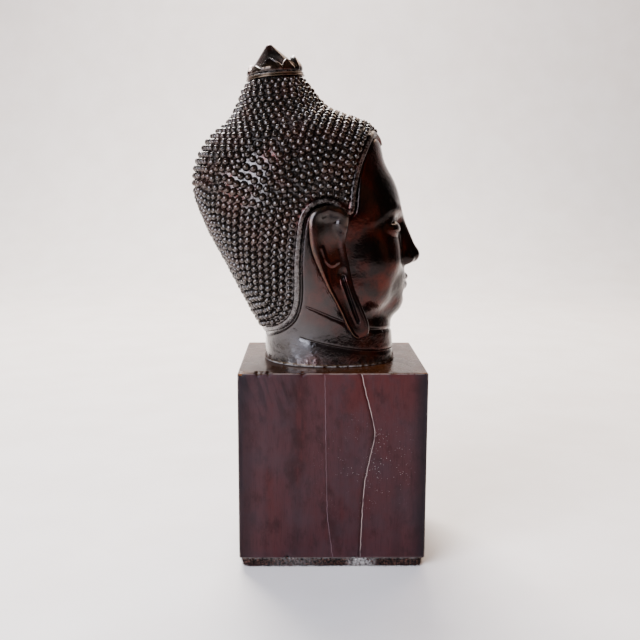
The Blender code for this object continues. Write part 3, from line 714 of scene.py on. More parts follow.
@dataclass(frozen=True)
class StainedRosewood:
    """Planed rosewood, stained and waxed: soft straight streaks along the grain under a handled bloom.

    The mesh carries two numbers: wear along the edges, and margin, how near a point is to an upright edge,
    where the sides take painted shade, darker towards their edges, and the top a lighter painted warm
    reflection.
    """

    name: str
    along: tuple[float, float, float]
    middle: str = "#341b1d"
    dark: str = "#1b0e11"
    red: str = "#3d1413"
    stain: str = "#1a0809"
    bloom: str = "#2d2125"
    # Painted shade near a side's upright edges; the top's own value is a lighter painted warm reflection
    # there.
    margin: str = "#0d0a0f"
    worn: str = "#85776f"
    speck: str = "#c2b8b2"
    # Centre and reach, in metres, of the dust beside the crack and of a darker slanting stain.
    dusty: tuple[tuple[float, float, float], float] = ((-0.045, -0.019, 0.058), 0.036)
    stained: tuple[tuple[float, float, float], float] = ((-0.045, 0.036, 0.1), 0.036)
    stain_turn: float = math.radians(-17)
    shine: float = 0.12
    satin: tuple[float, float] = (0.34, 0.5)
    # Centre and reach of a redder, less faded part.
    flushed: tuple[tuple[float, float, float], float] = ((-0.045, -0.022, 0.112), 0.05)

    def material(self) -> bpy.types.Material:
        """Build the wood: streaks, pores, stains, bloom, painted shade and painted warm reflection at the
        margins, worn edges and pale specks.

        Returns:
            The material.
        """
        coat = Undercoat(self.name)
        # Real pores are a tenth of a millimetre wide; these are drawn as coarse as they need to be to show.
        pores = coat.patches(0.55, 0.55, 0.7, detail=2, along=self.along)
        worn = coat.product(coat.add("Attribute", output="Fac", attribute_name="wear"),
                            coat.patches(3.5, 0.3, 0.52, detail=5, roughness=0.7))
        spots = coat.add("TexVoronoi", {"Vector": coat.place, "Scale": 1 / (1.1 * MM)}, "Distance")
        spots = coat.product(coat.add("MapRange", {"Value": spots, "From Min": 0.13, "From Max": 0.07,
                                                   "To Max": 0.7}),
                             coat.near(*self.dusty), coat.patches(6, 0.46, 0.6, 1.6, detail=5))
        slanting = coat.product(coat.near(*self.stained),
                                coat.patches(3, 0.44, 0.66, 1.2, 5, (1, 1, 7), turn=(self.stain_turn, 0, 0)))
        haze = coat.patches(22, 0.4, 0.7, 0.5, detail=5, roughness=0.6)
        flushed = coat.product(coat.near(*self.flushed),
                               coat.patches(9, 0.35, 0.6, 0.7, 5, (1, 1, 1.6), 0.65))
        # Painted shade near the upright edges of the sides, and a painted warm reflection there on the top.
        margin = coat.product(coat.add("Attribute", output="Fac", attribute_name="margin"),
                              coat.patches(18, 0.1, 0.6, 0.9, along=self.along))
        color = coat.coats(
            self.middle, (coat.patches(14, 0.42, 0.68, 0.6, 5, self.along), self.dark),
            (coat.patches(7, 0.46, 0.72, 0.5, 5, self.along), self.red),
            (coat.patches(0.9, 0.48, 0.72, 0.3, 4, self.along), self.dark),
            (coat.patches(8, 0.48, 0.66, 0.6, 5, (1, 1, 1.8), 0.7), self.stain),
            (slanting, self.stain), (coat.product(pores, 0.35), "#150b0d"),
            (haze, self.bloom), (flushed, self.red), (margin, self.margin), (worn, self.worn),
            (spots, self.speck))
        rough = coat.add("MapRange", {"Value": haze, "To Min": self.satin[0], "To Max": self.satin[1]})
        relief = coat.add("Bump", {"Height": pores, "Distance": 0.03 * MM, "Strength": 0.5}, invert=True)
        relief = coat.add("Bump", {"Height": coat.patches(14, 0.3, 0.7, detail=2), "Distance": 0.2 * MM,
                                   "Strength": 0.25, "Normal": relief})
        connect(coat.shader, {"Base Color": color, "Roughness": rough, "Normal": relief, "IOR": 1.5,
                              "Specular IOR Level": self.shine})
        return coat.material


@dataclass(frozen=True)
class OldFiller:
    """Old wax, glue and dust packed into a joint or a crack: pale, dull and broken up by dark gaps."""

    name: str
    pale: str
    dark: str = "#332224"
    gaps: tuple[float, float] = (0.34, 0.5)

    def material(self) -> bpy.types.Material:
        """Build the filler: pale lengths and dark gaps.

        Returns:
            The material.
        """
        coat = Undercoat(self.name)
        relief = coat.add("Bump", {"Height": coat.patches(0.8, 0.3, 0.7), "Distance": 0.1 * MM,
                                   "Strength": 0.6})
        color = coat.coats(self.dark, (coat.patches(5, *self.gaps, detail=5, along=(1, 1, 3)), self.pale))
        connect(coat.shader, {"Base Color": color, "Roughness": 0.7, "Normal": relief})
        return coat.material


@dataclass(frozen=True)
class PressedFelt:
    """Pressed wool felt, brown-black: dull matted fibres, faintly shiny, and grey where dust has caught."""

    name: str = "Pressed wool felt"
    wool: str = "#0e0706"
    fluff: str = "#80594d"
    dust: str = "#b9b2ad"

    def material(self) -> bpy.types.Material:
        """Build the felt: clumps of wool, lighter fluff and caught dust.

        Returns:
            The material.
        """
        coat = Undercoat(self.name)
        clumps = coat.patches(1.3, 0.35, 0.7, detail=5, roughness=0.75)
        caught = coat.product(coat.add("Attribute", output="Fac", attribute_name="dust"),
                              coat.patches(1.6, 0.34, 0.6, detail=5))
        relief = coat.add("Bump", {"Height": clumps, "Distance": 0.5 * MM, "Strength": 0.9})
        color = coat.coats(self.wool, (coat.patches(1.2, 0.5, 0.6, detail=5, roughness=0.85), self.fluff),
                           (caught, self.dust))
        connect(coat.shader, {"Base Color": color, "Roughness": 0.95, "Normal": relief, "Sheen Weight": 0.04,
                              "Sheen Roughness": 0.5, "Specular IOR Level": 0.05})
        return coat.material


@dataclass(frozen=True)
class StudioPaper:
    """Matt white paper for the floor and the sweep behind it, faintly mottled."""

    name: str = "Studio paper"
    pale: str = "#f6efea"
    shade: str = "#f1e9e3"

    def material(self) -> bpy.types.Material:
        """Build the paper.

        Returns:
            The material.
        """
        coat = Undercoat(self.name)
        connect(coat.shader, {"Base Color": coat.coats(self.pale, (coat.patches(60, 0.3, 0.7), self.shade)),
                              "Roughness": 0.7})
        return coat.material


def to_scene(points: Array) -> list[tuple[float, float, float]]:
    """Sculpting millimetres to the frame's metres, the face turned to -Y."""
    side, ahead, up = (np.asarray(points, dtype=float) * MM).T
    return list(zip(side.tolist(), (-ahead).tolist(), up.tolist()))


def mesh_of(name: str, points: Array, faces: Faces, numbers: dict[str, Array] | None = None
            ) -> bpy.types.Mesh:
    """A closed mesh with its faces turned outwards.

    Args:
        name: the mesh's name.
        points: its points in sculpting millimetres.
        faces: corner numbers of its faces.
        numbers: one value per point for each named attribute.

    Returns:
        The mesh, smooth shaded.
    """
    mesh = bpy.data.meshes.new(name)
    mesh.from_pydata(to_scene(points), [], [tuple(int(corner) for corner in face) for face in faces])
    for label, values in (numbers or {}).items():
        mesh.attributes.new(label, "FLOAT", "POINT").data.foreach_set(
            "value", np.asarray(values, dtype=np.float32))
    body = bmesh.new()
    body.from_mesh(mesh)
    bmesh.ops.recalc_face_normals(body, faces=body.faces)
    body.to_mesh(mesh)
    body.free()
    mesh.shade_smooth()
    return mesh


def piece(mesh: bpy.types.Mesh, slot: str, *materials: bpy.types.Material) -> bpy.types.Object:
    """Put a finished mesh in the scene as a piece of the object.

    Args:
        mesh: the piece's mesh, already in its place.
        slot: name of the record's material slot; not used.
        materials: its finishes.

    Returns:
        The piece's object.
    """
    made = bpy.data.objects.new(mesh.name, mesh)
    bpy.context.scene.collection.objects.link(made)
    mesh.materials.clear()
    for material in materials:
        mesh.materials.append(material)
    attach(made, BODY)
    mesh.calc_loop_triangles()
    log.info("%s: %d triangles", made.name, len(mesh.loop_triangles))
    return made


def twin_numbers(on_middle: Array) -> list[int]:
    """The number of each point's mirror image.

    Args:
        on_middle: whether each point lies on the plane and is its own twin.

    Returns:
        The numbers.
    """
    twins = np.arange(len(on_middle))
    twins[~on_middle] = len(on_middle) + np.arange((~on_middle).sum())
    return twins.tolist()


def mirrored(points: Array, faces: Faces, numbers: dict[str, Array], on_middle: Array
             ) -> tuple[Array, Faces, dict[str, Array]]:
    """Add the other half of a half mesh, sharing the points on the plane of symmetry.

    Args:
        points: the half's points.
        faces: its faces.
        numbers: what its points carry.
        on_middle: whether each point lies on the plane.

    Returns:
        Points, faces and numbers of the whole.
    """
    twins = twin_numbers(on_middle)
    whole = np.vstack([points, points[~on_middle] * (-1, 1, 1)])
    faces = [*faces, *([twins[corner] for corner in reversed(face)] for face in faces)]
    return whole, faces, {name: np.concatenate([values, values[~on_middle]])
                          for name, values in numbers.items()}


def tube_faces(rows: int, columns: int) -> Faces:
    """Quads between closed loops of points, each loop stacked on the one before, with both ends closed.

    Args:
        rows: how many loops there are.
        columns: points in each.

    Returns:
        Corner numbers of the faces.
    """
    faces: Faces = [list(range(columns - 1, -1, -1)), list(range((rows - 1) * columns, rows * columns))]
    for row in range(rows - 1):
        for column in range(columns):
            after = (column + 1) % columns
            faces.append([row * columns + column, row * columns + after,
                          (row + 1) * columns + after, (row + 1) * columns + column])
    return faces


@dataclass
class Recipe:
    """A Geometry Nodes tree with named inputs, cooked once into a plain mesh."""

    name: str
    inputs: dict[str, tuple[str, Any]]

    def __post_init__(self) -> None:
        """Make the tree, its inputs and its output."""
        self.tree = bpy.data.node_groups.new(self.name, "GeometryNodeTree")
        face = self.tree.interface
        face.new_socket("Geometry", in_out="INPUT", socket_type="NodeSocketGeometry")
        face.new_socket("Geometry", in_out="OUTPUT", socket_type="NodeSocketGeometry")
        self.keys = {name: face.new_socket(name, in_out="INPUT", socket_type="NodeSocket" + kind).identifier
                     for name, (kind, _) in self.inputs.items()}
        self.given = self.tree.nodes.new("NodeGroupInput").outputs

    def add(self, kind: str, inputs: dict[str | int, Any] | None = None, output: str | int = 0,
            **settings: Any) -> bpy.types.NodeSocket:
        """Add a node to this tree."""
        return add_node(self.tree, kind, inputs, output, **settings)

    def cook(self, carrier: bpy.types.Mesh, geometry: bpy.types.NodeSocket) -> bpy.types.Mesh:
        """Finish the tree and turn its result into a mesh.

        Args:
            carrier: the mesh that the tree starts from; it is used up.
            geometry: what the tree has made, before it is realised.

        Returns:
            The result as a plain mesh, named as the tree.
        """
        real = self.add("GeometryNodeRealizeInstances", {0: geometry})
        dressed = self.add("GeometryNodeSetMaterial", {0: real, "Material": self.given["Material"]})
        self.tree.links.new(dressed, self.tree.nodes.new("NodeGroupOutput").inputs[0])
        host = bpy.data.objects.new(self.name + "_carrier", carrier)
        bpy.context.scene.collection.objects.link(host)
        modifier = host.modifiers.new(self.name, "NODES")
        modifier.node_group = self.tree
        for name, (_, value) in self.inputs.items():
            modifier[self.keys[name]] = value
        mesh = bpy.data.meshes.new_from_object(host.evaluated_get(bpy.context.evaluated_depsgraph_get()))
        host.modifiers.remove(modifier)
        bpy.data.objects.remove(host)
        mesh.name = self.name
        mesh.shade_smooth()
        return mesh


def triangles_of(chart: Array, outline: list[int], edges: Sequence[tuple[int, int]]
                 ) -> tuple[list[list[int]], Array]:
    """Delaunay triangles of chart points inside an outline.

    Args:
        chart: the flat points.
        outline: numbers of the outline's points.
        edges: pairs of points that stay joined.

    Returns:
        The triangles, and chart points added where two edges cross.
    """
    made, _, triangles, origins, _, _ = delaunay_2d_cdt(
        [tuple(spot) for spot in chart.tolist()], list(edges), [outline], 1, 1e-9)
    numbers, added = [], []
    for spot, origin in zip(made, origins):
        numbers.append(origin[0] if origin else len(chart) + len(added))
        if not origin:
            added.append(tuple(spot))
    return ([[numbers[corner] for corner in triangle] for triangle in triangles],
            np.array(added).reshape(-1, 2))


# Hair line and skin ---------------------------------------------------------------------------------------

@dataclass
class HairLine:
    """The raised band that edges the hair, and where hair grows behind it, on the bald head."""

    head: HeadForm
    # Side, ahead and height from the middle of the brow, over the ear and down to the nape.
    corners: tuple[tuple[float, float, float], ...] = (
        (0.0, 28.2, 227.8), (9.5, 23.0, 230.7), (16.0, 21.0, 228.9), (22.5, 18.1, 223.3), (27.3, 14.4, 214.3),
        (30.9, 11.8, 201.9), (33.0, 10.4, 190.6), (34.4, 6.0, 189.8), (36.0, 0.4, 194.3), (37.4, -5.5, 195.2),
        (38.1, -11.2, 192.6), (38.3, -14.8, 187.6), (37.9, -16.3, 179.5), (36.2, -17.6, 164.3),
        (33.6, -17.6, 149.8), (31.5, -18.4, 141.0), (28.3, -21.2, 133.3), (23.7, -26.7, 128.2),
        (15.3, -33.5, 125.2), (0.0, -38.5, 123.6),
    )
    # Offset across the line and height over the skin: groove, band, then the bed that the curls stand in.
    profile: tuple[tuple[float, float], ...] = (
        (-2.5, 0.0), (-1.9, -0.2), (-1.45, -0.8), (-1.05, -1.25), (-0.5, -1.2), (-0.15, -0.2), (0.0, 0.65),
        (0.25, 1.0), (0.8, 1.15), (1.6, 1.2), (2.3, 1.15), (2.75, 0.9), (3.0, 0.45), (3.4, 0.35),
    )
    bed: float = 0.55
    step: float = 0.45
    spacing: float = 0.9
    crown: float = 9.0
    turn_share: float = 0.93

    def __post_init__(self) -> None:
        """Lay the line on the head and find the edge of the ring on top."""
        self.top = math.log(math.tan(math.radians(90 - self.crown / 2)))
        self.path = self.head.onto(smooth_path(np.array(self.corners), self.step), self.head.ray_steps)
        self.path[[0, -1], 0] = 0
        turn = np.linspace(0, math.pi, 40)
        self.ring = self.head.cast(self.head.rays(np.stack([turn, np.full_like(turn, self.top)], axis=-1)))
        self.ring[[0, -1], 0] = 0
        chart = self.head.chart_of(resample(self.path, 1.5))
        self.corners_on_chart = np.vstack([chart, (math.pi, self.top), (0.0, self.top)])
        self.corners_on_chart[[0, -1], 0] = -0.1

    def covers(self, points: Array) -> Array:
        """Whether points lie above and behind the line, below the ring.

        Args:
            points: places on or near the head.

        Returns:
            True for each point in the hair.
        """
        azimuth, mercator = np.moveaxis(self.head.chart_of(points), -1, 0)
        inside = np.zeros(azimuth.shape, dtype=bool)
        for (left, low), (right, high) in zip(self.corners_on_chart,
                                              np.roll(self.corners_on_chart, -1, axis=0)):
            if left != right:
                spans = (azimuth < left) != (azimuth < right)
                inside ^= spans & (mercator < low + (azimuth - left) * (high - low) / (right - left))
        return inside

    def lines(self) -> list[tuple[Array, float]]:
        """Lines along the band and their height over the skin, cut where it turns too sharply for them.

        Returns:
            Each line's points and its height.
        """
        across = self.head.seam(self.path, 1)
        made = []
        for offset, lift in self.profile:
            line = self.head.onto(self.head.walk(self.path, across, offset)[0])
            line[[0, -1], 0] = 0
            keep = ((distances(line, self.path) >= abs(offset) * self.turn_share)
                    & (line[:, 0] > self.spacing / 2))
            keep[[0, -1]] = True
            line = line[keep]
            runs = [0]
            for run in range(1, len(line) - 1):
                if min(length(line[run] - line[runs[-1]]), 2 * length(line[run] - line[-1])) >= self.spacing:
                    runs.append(run)
            made.append((line[[*runs, len(line) - 1]], lift))
        return made


@dataclass
class HeadSkin:
    """The cast skin: neck, face and the bed of the hair, one closed shell mirrored about the middle plane."""

    head: HeadForm
    hair: HairLine
    foot: float
    step: float = 0.75
    # Centre, reach and step of the places that need finer points; centre and reach of the face around them.
    fine: tuple[tuple[tuple[float, float, float], float, float], ...] = (
        ((14.5, 27.0, 181.0), 13.5, 0.45), ((3.0, 38.0, 157.0), 15.0, 0.45),
    )
    face: tuple[tuple[float, float, float], float] = ((14.0, 25.0, 168.0), 48.0)
    far_step: float = 1.15
    bed_step: float = 1.7
    clearance: float = 0.62
    # Height over a crease's middle of the lines of points laid along it, and over the foot of those round it.
    crease_lines: tuple[float, ...] = (-1.7, -1.1, -0.7, -0.35, 0.0, 0.35, 0.7, 1.1, 1.7)
    foot_lines: tuple[float, ...] = (0.45, 0.9, 1.5, 2.2)

    def level_line(self, height: float) -> Array:
        """The neck's outline at one height, from the front to the back.

        Args:
            height: where the cut lies.

        Returns:
            Points of one half, its ends on the middle line.
        """
        front, back, half = (np.interp(height, self.head.heights, column)
                             for column in (self.head.fronts, self.head.backs, self.head.widths))
        turn = np.linspace(0, math.pi, 400)
        power = 2 / self.head.section_power
        side = half * np.abs(np.sin(turn))**power
        ahead = (front + back) / 2 + (front - back) / 2 * np.sign(np.cos(turn)) * np.abs(np.cos(turn))**power
        line = resample(np.stack([side, ahead, np.full_like(side, height)], axis=-1), self.step)
        line[[0, -1], 0] = 0
        return line

    def middle(self, azimuth: float, low: Array, high: Array, step: float) -> Array:
        """Points of the middle line strictly between two of its points.

        Args:
            azimuth: nought for the front line, half a turn for the back one.
            low: the lower of the two.
            high: the upper.
            step: how far apart the points lie.

        Returns:
            The points between.
        """
        mercators = np.linspace(self.head.chart_of(low)[1], self.head.chart_of(high)[1], 500)
        line = self.head.cast(self.head.rays(
            np.stack([np.full_like(mercators, azimuth), mercators], axis=-1)))
        line = resample(line, step)[1:-1]
        line[:, 0] = 0
        return line

    def folds(self, edge: Array) -> list[Array]:
        """Lines of points round the foot and along the neck's creases, clear of other lines.

        Args:
            edge: points of the other lines.

        Returns:
            The lines.
        """
        lines = [self.head.onto(self.level_line(self.foot + rise)[1:-1]) for rise in self.foot_lines]
        lines += [self.head.onto(resample(path, self.step)[:-1] + (0, 0, rise))
                  for path in self.head.crease_paths for rise in self.crease_lines]
        return [far_from(line, edge, self.step * self.clearance) for line in lines]

    def scatter(self, edge: Array) -> Array:
        """Points all over the skin, closest together where the form is fine.

        Args:
            edge: points that they keep clear of.

        Returns:
            The points.
        """
        taken = np.empty((0, 3))
        for centre, reach, step in (*self.fine, (*self.face, self.step),
                                    ((0, 0, 0), math.inf, self.far_step)):
            points = self.head.cast(self.head.rays(self.head.lattice(step)))
            near = (length(points - np.array(centre)) < reach) & (points[:, 2] > self.foot + step / 2)
            points = far_from(points[near & ~self.hair.covers(points)], edge, step * self.clearance)
            taken, edge = np.vstack([taken, points]), np.vstack([edge, points])
        points = self.head.cast(self.head.rays(self.head.lattice(self.bed_step)))
        points = far_from(points[self.hair.covers(points)], edge, self.bed_step * self.clearance)
        return np.vstack([taken, points])

    def build(self, finish: bpy.types.Material) -> bpy.types.Object:
        """Make the skin.

        Args:
            finish: its patina.

        Returns:
            The finished piece.
        """
        foot, ring, lines = self.level_line(self.foot), self.hair.ring, self.hair.lines()
        outer, bed = lines[0][0], lines[-1][0]
        groups = [foot, self.middle(math.pi, foot[-1], outer[-1], 1.0), *(line for line, _ in lines), ring,
                  self.middle(math.pi, bed[-1], ring[-1], self.bed_step), self.middle(0, bed[0], ring[0],
                                                                                     self.bed_step),
                  self.middle(0, foot[0], outer[0], 0.5)]
        folds = self.folds(np.vstack(groups))
        groups += folds
        groups.append(self.scatter(np.vstack(groups)))
        spots = numbered(groups)
        points = np.vstack(groups)
        lifts = np.zeros(len(points))
        for (_, lift), numbers in zip(lines, spots[2:]):
            lifts[numbers] = lift
        loose = np.isin(np.arange(len(points)), np.concatenate([*spots[2:2 + len(lines)]]), invert=True)
        lifts[loose & self.hair.covers(points)] = self.hair.bed
        lifts[spots[2 + len(lines)]] = self.hair.bed

        chart = self.head.chart_of(points)
        on_middle = np.abs(points[:, 0]) < 1e-6
        chart[on_middle, 0] = np.where(chart[on_middle, 0] > 1, math.pi, 0)
        edges = [pair for numbers in (*spots[2:2 + len(lines)], *spots[-1 - len(folds):-1])
                 for pair in zip(numbers.tolist(), numbers[1:].tolist())]
        faces, crossings = triangles_of(chart, self.outline(chart, on_middle, spots), edges)
        if len(crossings):
            crossed = self.head.cast(self.head.rays(crossings))
            points = np.vstack([points, crossed])
            lifts = np.append(lifts, self.hair.bed * self.hair.covers(crossed))
            on_middle = np.append(on_middle, np.abs(crossings[:, 0]) < 1e-6)
        lifted = points + lifts[:, None] * self.head.normals(points)
        lifted[on_middle, 0] = 0
        lifted[spots[0]] = foot
        low = points[:, 2] - self.foot
        rough = (np.sin(points[:, 0] * 0.83 + points[:, 1] * 0.57)
                 + np.sin(points[:, 1] * 1.31 - points[:, 0] * 0.41)
                 + np.sin(points[:, 1] * 2.7 + points[:, 0] * 2.1))
        lifted += ((0.1 * rough * swell(low, 0.9, 2.8))[:, None] * self.head.normals(points)) * (1, 1, 0)
        numbers = {"wear": 0.6 * swell(low, 0.6, 0.7),
                   "dust": 1.6 * swell(low, 0.0, 0.6) + 0.12 * swell(low, 1.2, 2.0)
                   + 0.26 * (np.abs(lifts - self.hair.bed) < 0.05) + 0.3 * (lifts > 0.9)}
        points, faces, numbers = mirrored(lifted, faces, numbers, on_middle)
        front_to_back = spots[0].tolist()
        ring_numbers = spots[2 + len(lines)].tolist()
        twins = twin_numbers(on_middle)
        for loop in (front_to_back, ring_numbers):
            faces.append([*loop, *(twins[number] for number in loop[-2:0:-1])])
        made = piece(mesh_of("bronze_skin", points, faces, numbers), "bronze", finish)
        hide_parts("bronze_head")
        return made

    def outline(self, chart: Array, on_middle: Array, spots: list[Array]) -> list[int]:
        """The half's outline on the chart: foot, back middle line, ring, then front middle line.

        Args:
            chart: every point on the chart.
            on_middle: whether each lies on the middle line.
            spots: numbers of the points of each group.

        Returns:
            Numbers of the outline's points in order.
        """
        front = [spot for spot in np.flatnonzero(on_middle) if chart[spot, 0] == 0]
        behind = [spot for spot in np.flatnonzero(on_middle) if chart[spot, 0] > 0]
        front.sort(key=lambda spot: -chart[spot, 1])
        behind.sort(key=lambda spot: chart[spot, 1])
        ring = spots[2 + len(self.hair.profile)].tolist()
        return [int(spot) for spot in spots[0].tolist()[:-1] + behind[:-1] + ring[:0:-1] + front[:-1]]


def numbered(groups: list[Array]) -> list[Array]:
    """The numbers that each group's points get when the groups are stacked."""
    ends = np.cumsum([len(group) for group in groups])
    return [np.arange(end - len(group), end) for group, end in zip(groups, ends)]


# Curls ------------------------------------------------------------------------------------------------------

@dataclass
class Curls:
    """Rows of small snail curls that follow the hair line and the ring on top until they meet."""

    head: HeadForm
    hair: HairLine
    pitch: float = 3.6
    row_gap: float = 3.8
    first_row: float = 5.2
    first_ring: float = 1.7
    rows: int = 31
    crowding: float = 0.86
    gap_crowding: float = 0.84
    clearance: float = 0.5
    # As shares of the pitch: nearer the middle line than the first a curl stands on it, the others keep
    # beyond the second, and the third is how closely gaps are looked for.
    on_line: float = 0.25
    off_line: float = 0.46
    gap_step: float = 0.22
    # Rounds of drifting apart, the gap aimed at as a share of the pitch, and the share of each push taken.
    drifts: int = 8
    apart: float = 1.05
    give: float = 0.2
    band: float = 3.3
    width: float = 4.15
    height: float = 2.4
    sunk: float = 0.35
    seed: int = 7

    def with_room(self, places: Array, taken: list[Array], crowding: float) -> list[Array]:
        """The taken places and those new ones that keep clear of them and of the hair's edges.

        Args:
            places: the new ones.
            taken: the taken ones.
            crowding: least share of the pitch between two.

        Returns:
            The taken places, with the new ones added.
        """
        places = far_from(places, self.edge, self.pitch * self.clearance) if len(places) else places
        for place in places:
            if not taken or length(np.array(taken) - place).min() >= self.pitch * crowding:
                taken.append(place)
        return taken

    def along_row(self, front: Array, on_middle: bool) -> Array:
        """Places a pitch apart along one row, with or without one on the middle line.

        Args:
            front: points of the row.
            on_middle: whether one stands on the middle line.

        Returns:
            The places.
        """
        places: list[Array] = []
        for point in front:
            if point[0] < self.pitch * self.on_line:
                if not on_middle or point[0] < 0:
                    continue
                point = point * (0, 1, 1)
            elif point[0] < self.pitch * self.off_line:
                continue
            if not places or length(point - places[-1]) >= self.pitch:
                places.append(point)
        return np.array(places).reshape(-1, 3)

    def places(self) -> Array:
        """Where curls stand on one half of the head.

        Returns:
            The places, settled.
        """
        border, ring = (self.head.onto(path, self.head.ray_steps, False)
                        for path in (resample(self.hair.path, 0.4), resample(self.hair.ring, 0.4)))
        inner = self.head.walk(border, self.head.seam(border, 1), self.band)[0]
        self.edge = np.vstack([border, inner, ring])
        fronts = [self.head.walk(path, self.head.seam(path, turn), first)
                  for path, turn, first in ((border, 1, self.first_row), (ring, -1, self.first_ring))]
        taken: list[Array] = []
        for row in range(self.rows):
            for front, _ in fronts:
                taken = self.with_room(self.along_row(front[self.hair.covers(front)], row % 2 == 0), taken,
                                       self.crowding)
            fronts = [self.head.walk(front, across, self.row_gap) for front, across in fronts]
        gaps = self.head.cast(self.head.rays(self.head.lattice(self.pitch * self.gap_step)), carved=False)
        gaps = gaps[self.hair.covers(gaps) & (gaps[:, 0] > self.pitch * self.off_line)]
        return self.settled(np.array(self.with_room(gaps, taken, self.gap_crowding)))

    def settled(self, curls: Array) -> Array:
        """Let crowded curls drift apart into the gaps and off the hair's edges.

        Args:
            curls: where they stand.

        Returns:
            Where they come to rest.
        """
        in_middle = curls[:, 0] < self.pitch * self.on_line
        for _ in range(self.drifts):
            apart = curls[:, None] - np.vstack([curls, curls * (-1, 1, 1)])
            gap = np.maximum(length(apart), 1e-6)
            push = np.where(gap > 1e-3, np.maximum(self.pitch * self.apart / gap - 1, 0), 0)
            shift = (apart * push[..., None]).sum(1)
            from_edge = np.array([curl - self.edge[length(self.edge - curl).argmin()] for curl in curls])
            shift += from_edge * np.maximum(self.pitch * self.clearance / length(from_edge) - 1, 0)[:, None]
            curls = curls + self.give * shift
            curls[in_middle, 0] = 0
            curls = self.head.onto(curls, carved=False)
        return curls

    def snail(self, columns: int = 10, rows: int = 6) -> bpy.types.Mesh:
        """One curl of unit width and height: a ridge winding up a rounded cone.

        Args:
            columns: points in one turn.
            rows: half turns' worth of bulges and creases.

        Returns:
            The curl's mesh, as a closed shell.
        """
        points, dust, wear = [], [], []
        for row in range(rows):
            for column in range(columns):
                climb = (row + 2 * column / columns) / (rows + 1)
                angle = 2 * math.pi * column / columns
                radius = 0.5 * (1 - climb**2.0)**0.6 * (0.93 if row % 2 else 1.03) + 0.02
                points.append((radius * math.cos(angle), radius * math.sin(angle), climb))
                dust.append(0.3 * (1 - min(1, climb * 2.6)))
                wear.append(0.12 * (1 - row % 2) * climb)
        points += [(0, 0, -0.05), (0, 0, 1.0)]
        dust, wear = [*dust, 1, 0], [*wear, 0, 0.1]
        faces: Faces = []
        for row in range(rows - 1):
            for column in range(columns - 1):
                corner = row * columns + column
                faces.append([corner, corner + 1, corner + columns + 1, corner + columns])
        for row in range(rows - 3):
            last = (row + 1) * columns - 1
            faces.append([last, (row + 2) * columns, (row + 3) * columns, last + columns])
        base = [*range(columns), 2 * columns, columns]
        tip = [*range((rows - 1) * columns, rows * columns), (rows - 1) * columns - 1,
               (rows - 2) * columns - 1]
        for loop, centre in ((base, len(points) - 2), (tip, len(points) - 1)):
            faces += [[start, end, centre] for start, end in zip(loop, loop[1:] + loop[:1])]
        scale = 1 / MM
        return mesh_of("curl", np.array(points) * (scale, -scale, scale), faces, {"dust": dust, "wear": wear})

    def build(self, finish: bpy.types.Material) -> bpy.types.Object:
        """Stand a curl on each place.

        Args:
            finish: the curls' patina.

        Returns:
            All the curls as one piece.
        """
        places = self.places()
        places = np.vstack([places, places[places[:, 0] > 1e-3] * (-1, 1, 1)])
        outward = self.head.normals(places * np.where(places[:, :1] < 0, (-1, 1, 1), 1), False)
        outward *= np.where(places[:, :1] < 0, (-1, 1, 1), 1)
        near = distances(places, self.edge_on_both_sides())
        size = 0.84 + 0.16 * ease(near, 2.0, 6.0)
        log.info("%d curls", len(places))
        carrier = bpy.data.meshes.new("curl_places")
        carrier.from_pydata(to_scene(places + (self.hair.bed - self.sunk) * outward), [], [])
        carrier.attributes.new("outward", "FLOAT_VECTOR", "POINT").data.foreach_set(
            "vector", (outward * (1, -1, 1)).astype(np.float32).ravel())
        carrier.attributes.new("size", "FLOAT", "POINT").data.foreach_set("value", size.astype(np.float32))
        unit = bpy.data.objects.new("curl", self.snail())
        recipe = Recipe("bronze_curls", {"Curl": ("Object", unit), "Width": ("Float", self.width * MM),
                                         "Height": ("Float", (self.height + self.sunk) * MM),
                                         "Uneven": ("Float", 0.09), "Seed": ("Int", self.seed),
                                         "Material": ("Material", finish)})
        given = recipe.given
        upright = recipe.add("FunctionNodeAlignRotationToVector",
                             {"Vector": recipe.add("GeometryNodeInputNamedAttribute", {"Name": "outward"},
                                                   data_type="FLOAT_VECTOR")}, axis="Z")
        spin = recipe.add("FunctionNodeRandomValue", {"Min": (0.0, 0.0, 0.0), "Max": (0.0, 0.0, math.tau),
                                                      "Seed": given["Seed"]}, data_type="FLOAT_VECTOR")
        turned = recipe.add("FunctionNodeRotateRotation", {"Rotation": upright, "Rotate By": spin},
                            rotation_space="LOCAL")
        least = recipe.add("ShaderNodeMath", {0: 1.0, 1: given["Uneven"]}, operation="SUBTRACT")
        most = recipe.add("ShaderNodeMath", {0: 1.0, 1: given["Uneven"]}, operation="ADD")
        uneven = recipe.add("FunctionNodeRandomValue", {2: least, 3: most, "Seed": given["Seed"]}, 1,
                            data_type="FLOAT")
        size = recipe.add("GeometryNodeInputNamedAttribute", {"Name": "size"}, data_type="FLOAT")
        size = recipe.add("ShaderNodeMath", {0: size, 1: uneven}, operation="MULTIPLY")
        box = recipe.add("ShaderNodeCombineXYZ", {0: given["Width"], 1: given["Width"], 2: given["Height"]})
        scale = recipe.add("ShaderNodeVectorMath", {0: box, "Scale": size}, operation="SCALE")
        curl = recipe.add("GeometryNodeObjectInfo", {"Object": given["Curl"]}, "Geometry")
        stood = recipe.add("GeometryNodeInstanceOnPoints", {"Points": given["Geometry"], "Instance": curl,
                                                            "Rotation": turned, "Scale": scale})
        mesh = recipe.cook(carrier, stood)
        bpy.data.objects.remove(unit)
        return piece(mesh, "bronze", finish)

    def edge_on_both_sides(self) -> Array:
        """The hair's edges on both halves."""
        return np.vstack([self.edge, self.edge * (-1, 1, 1)])


# Ears, finial, block and felt -------------------------------------------------------------------------------

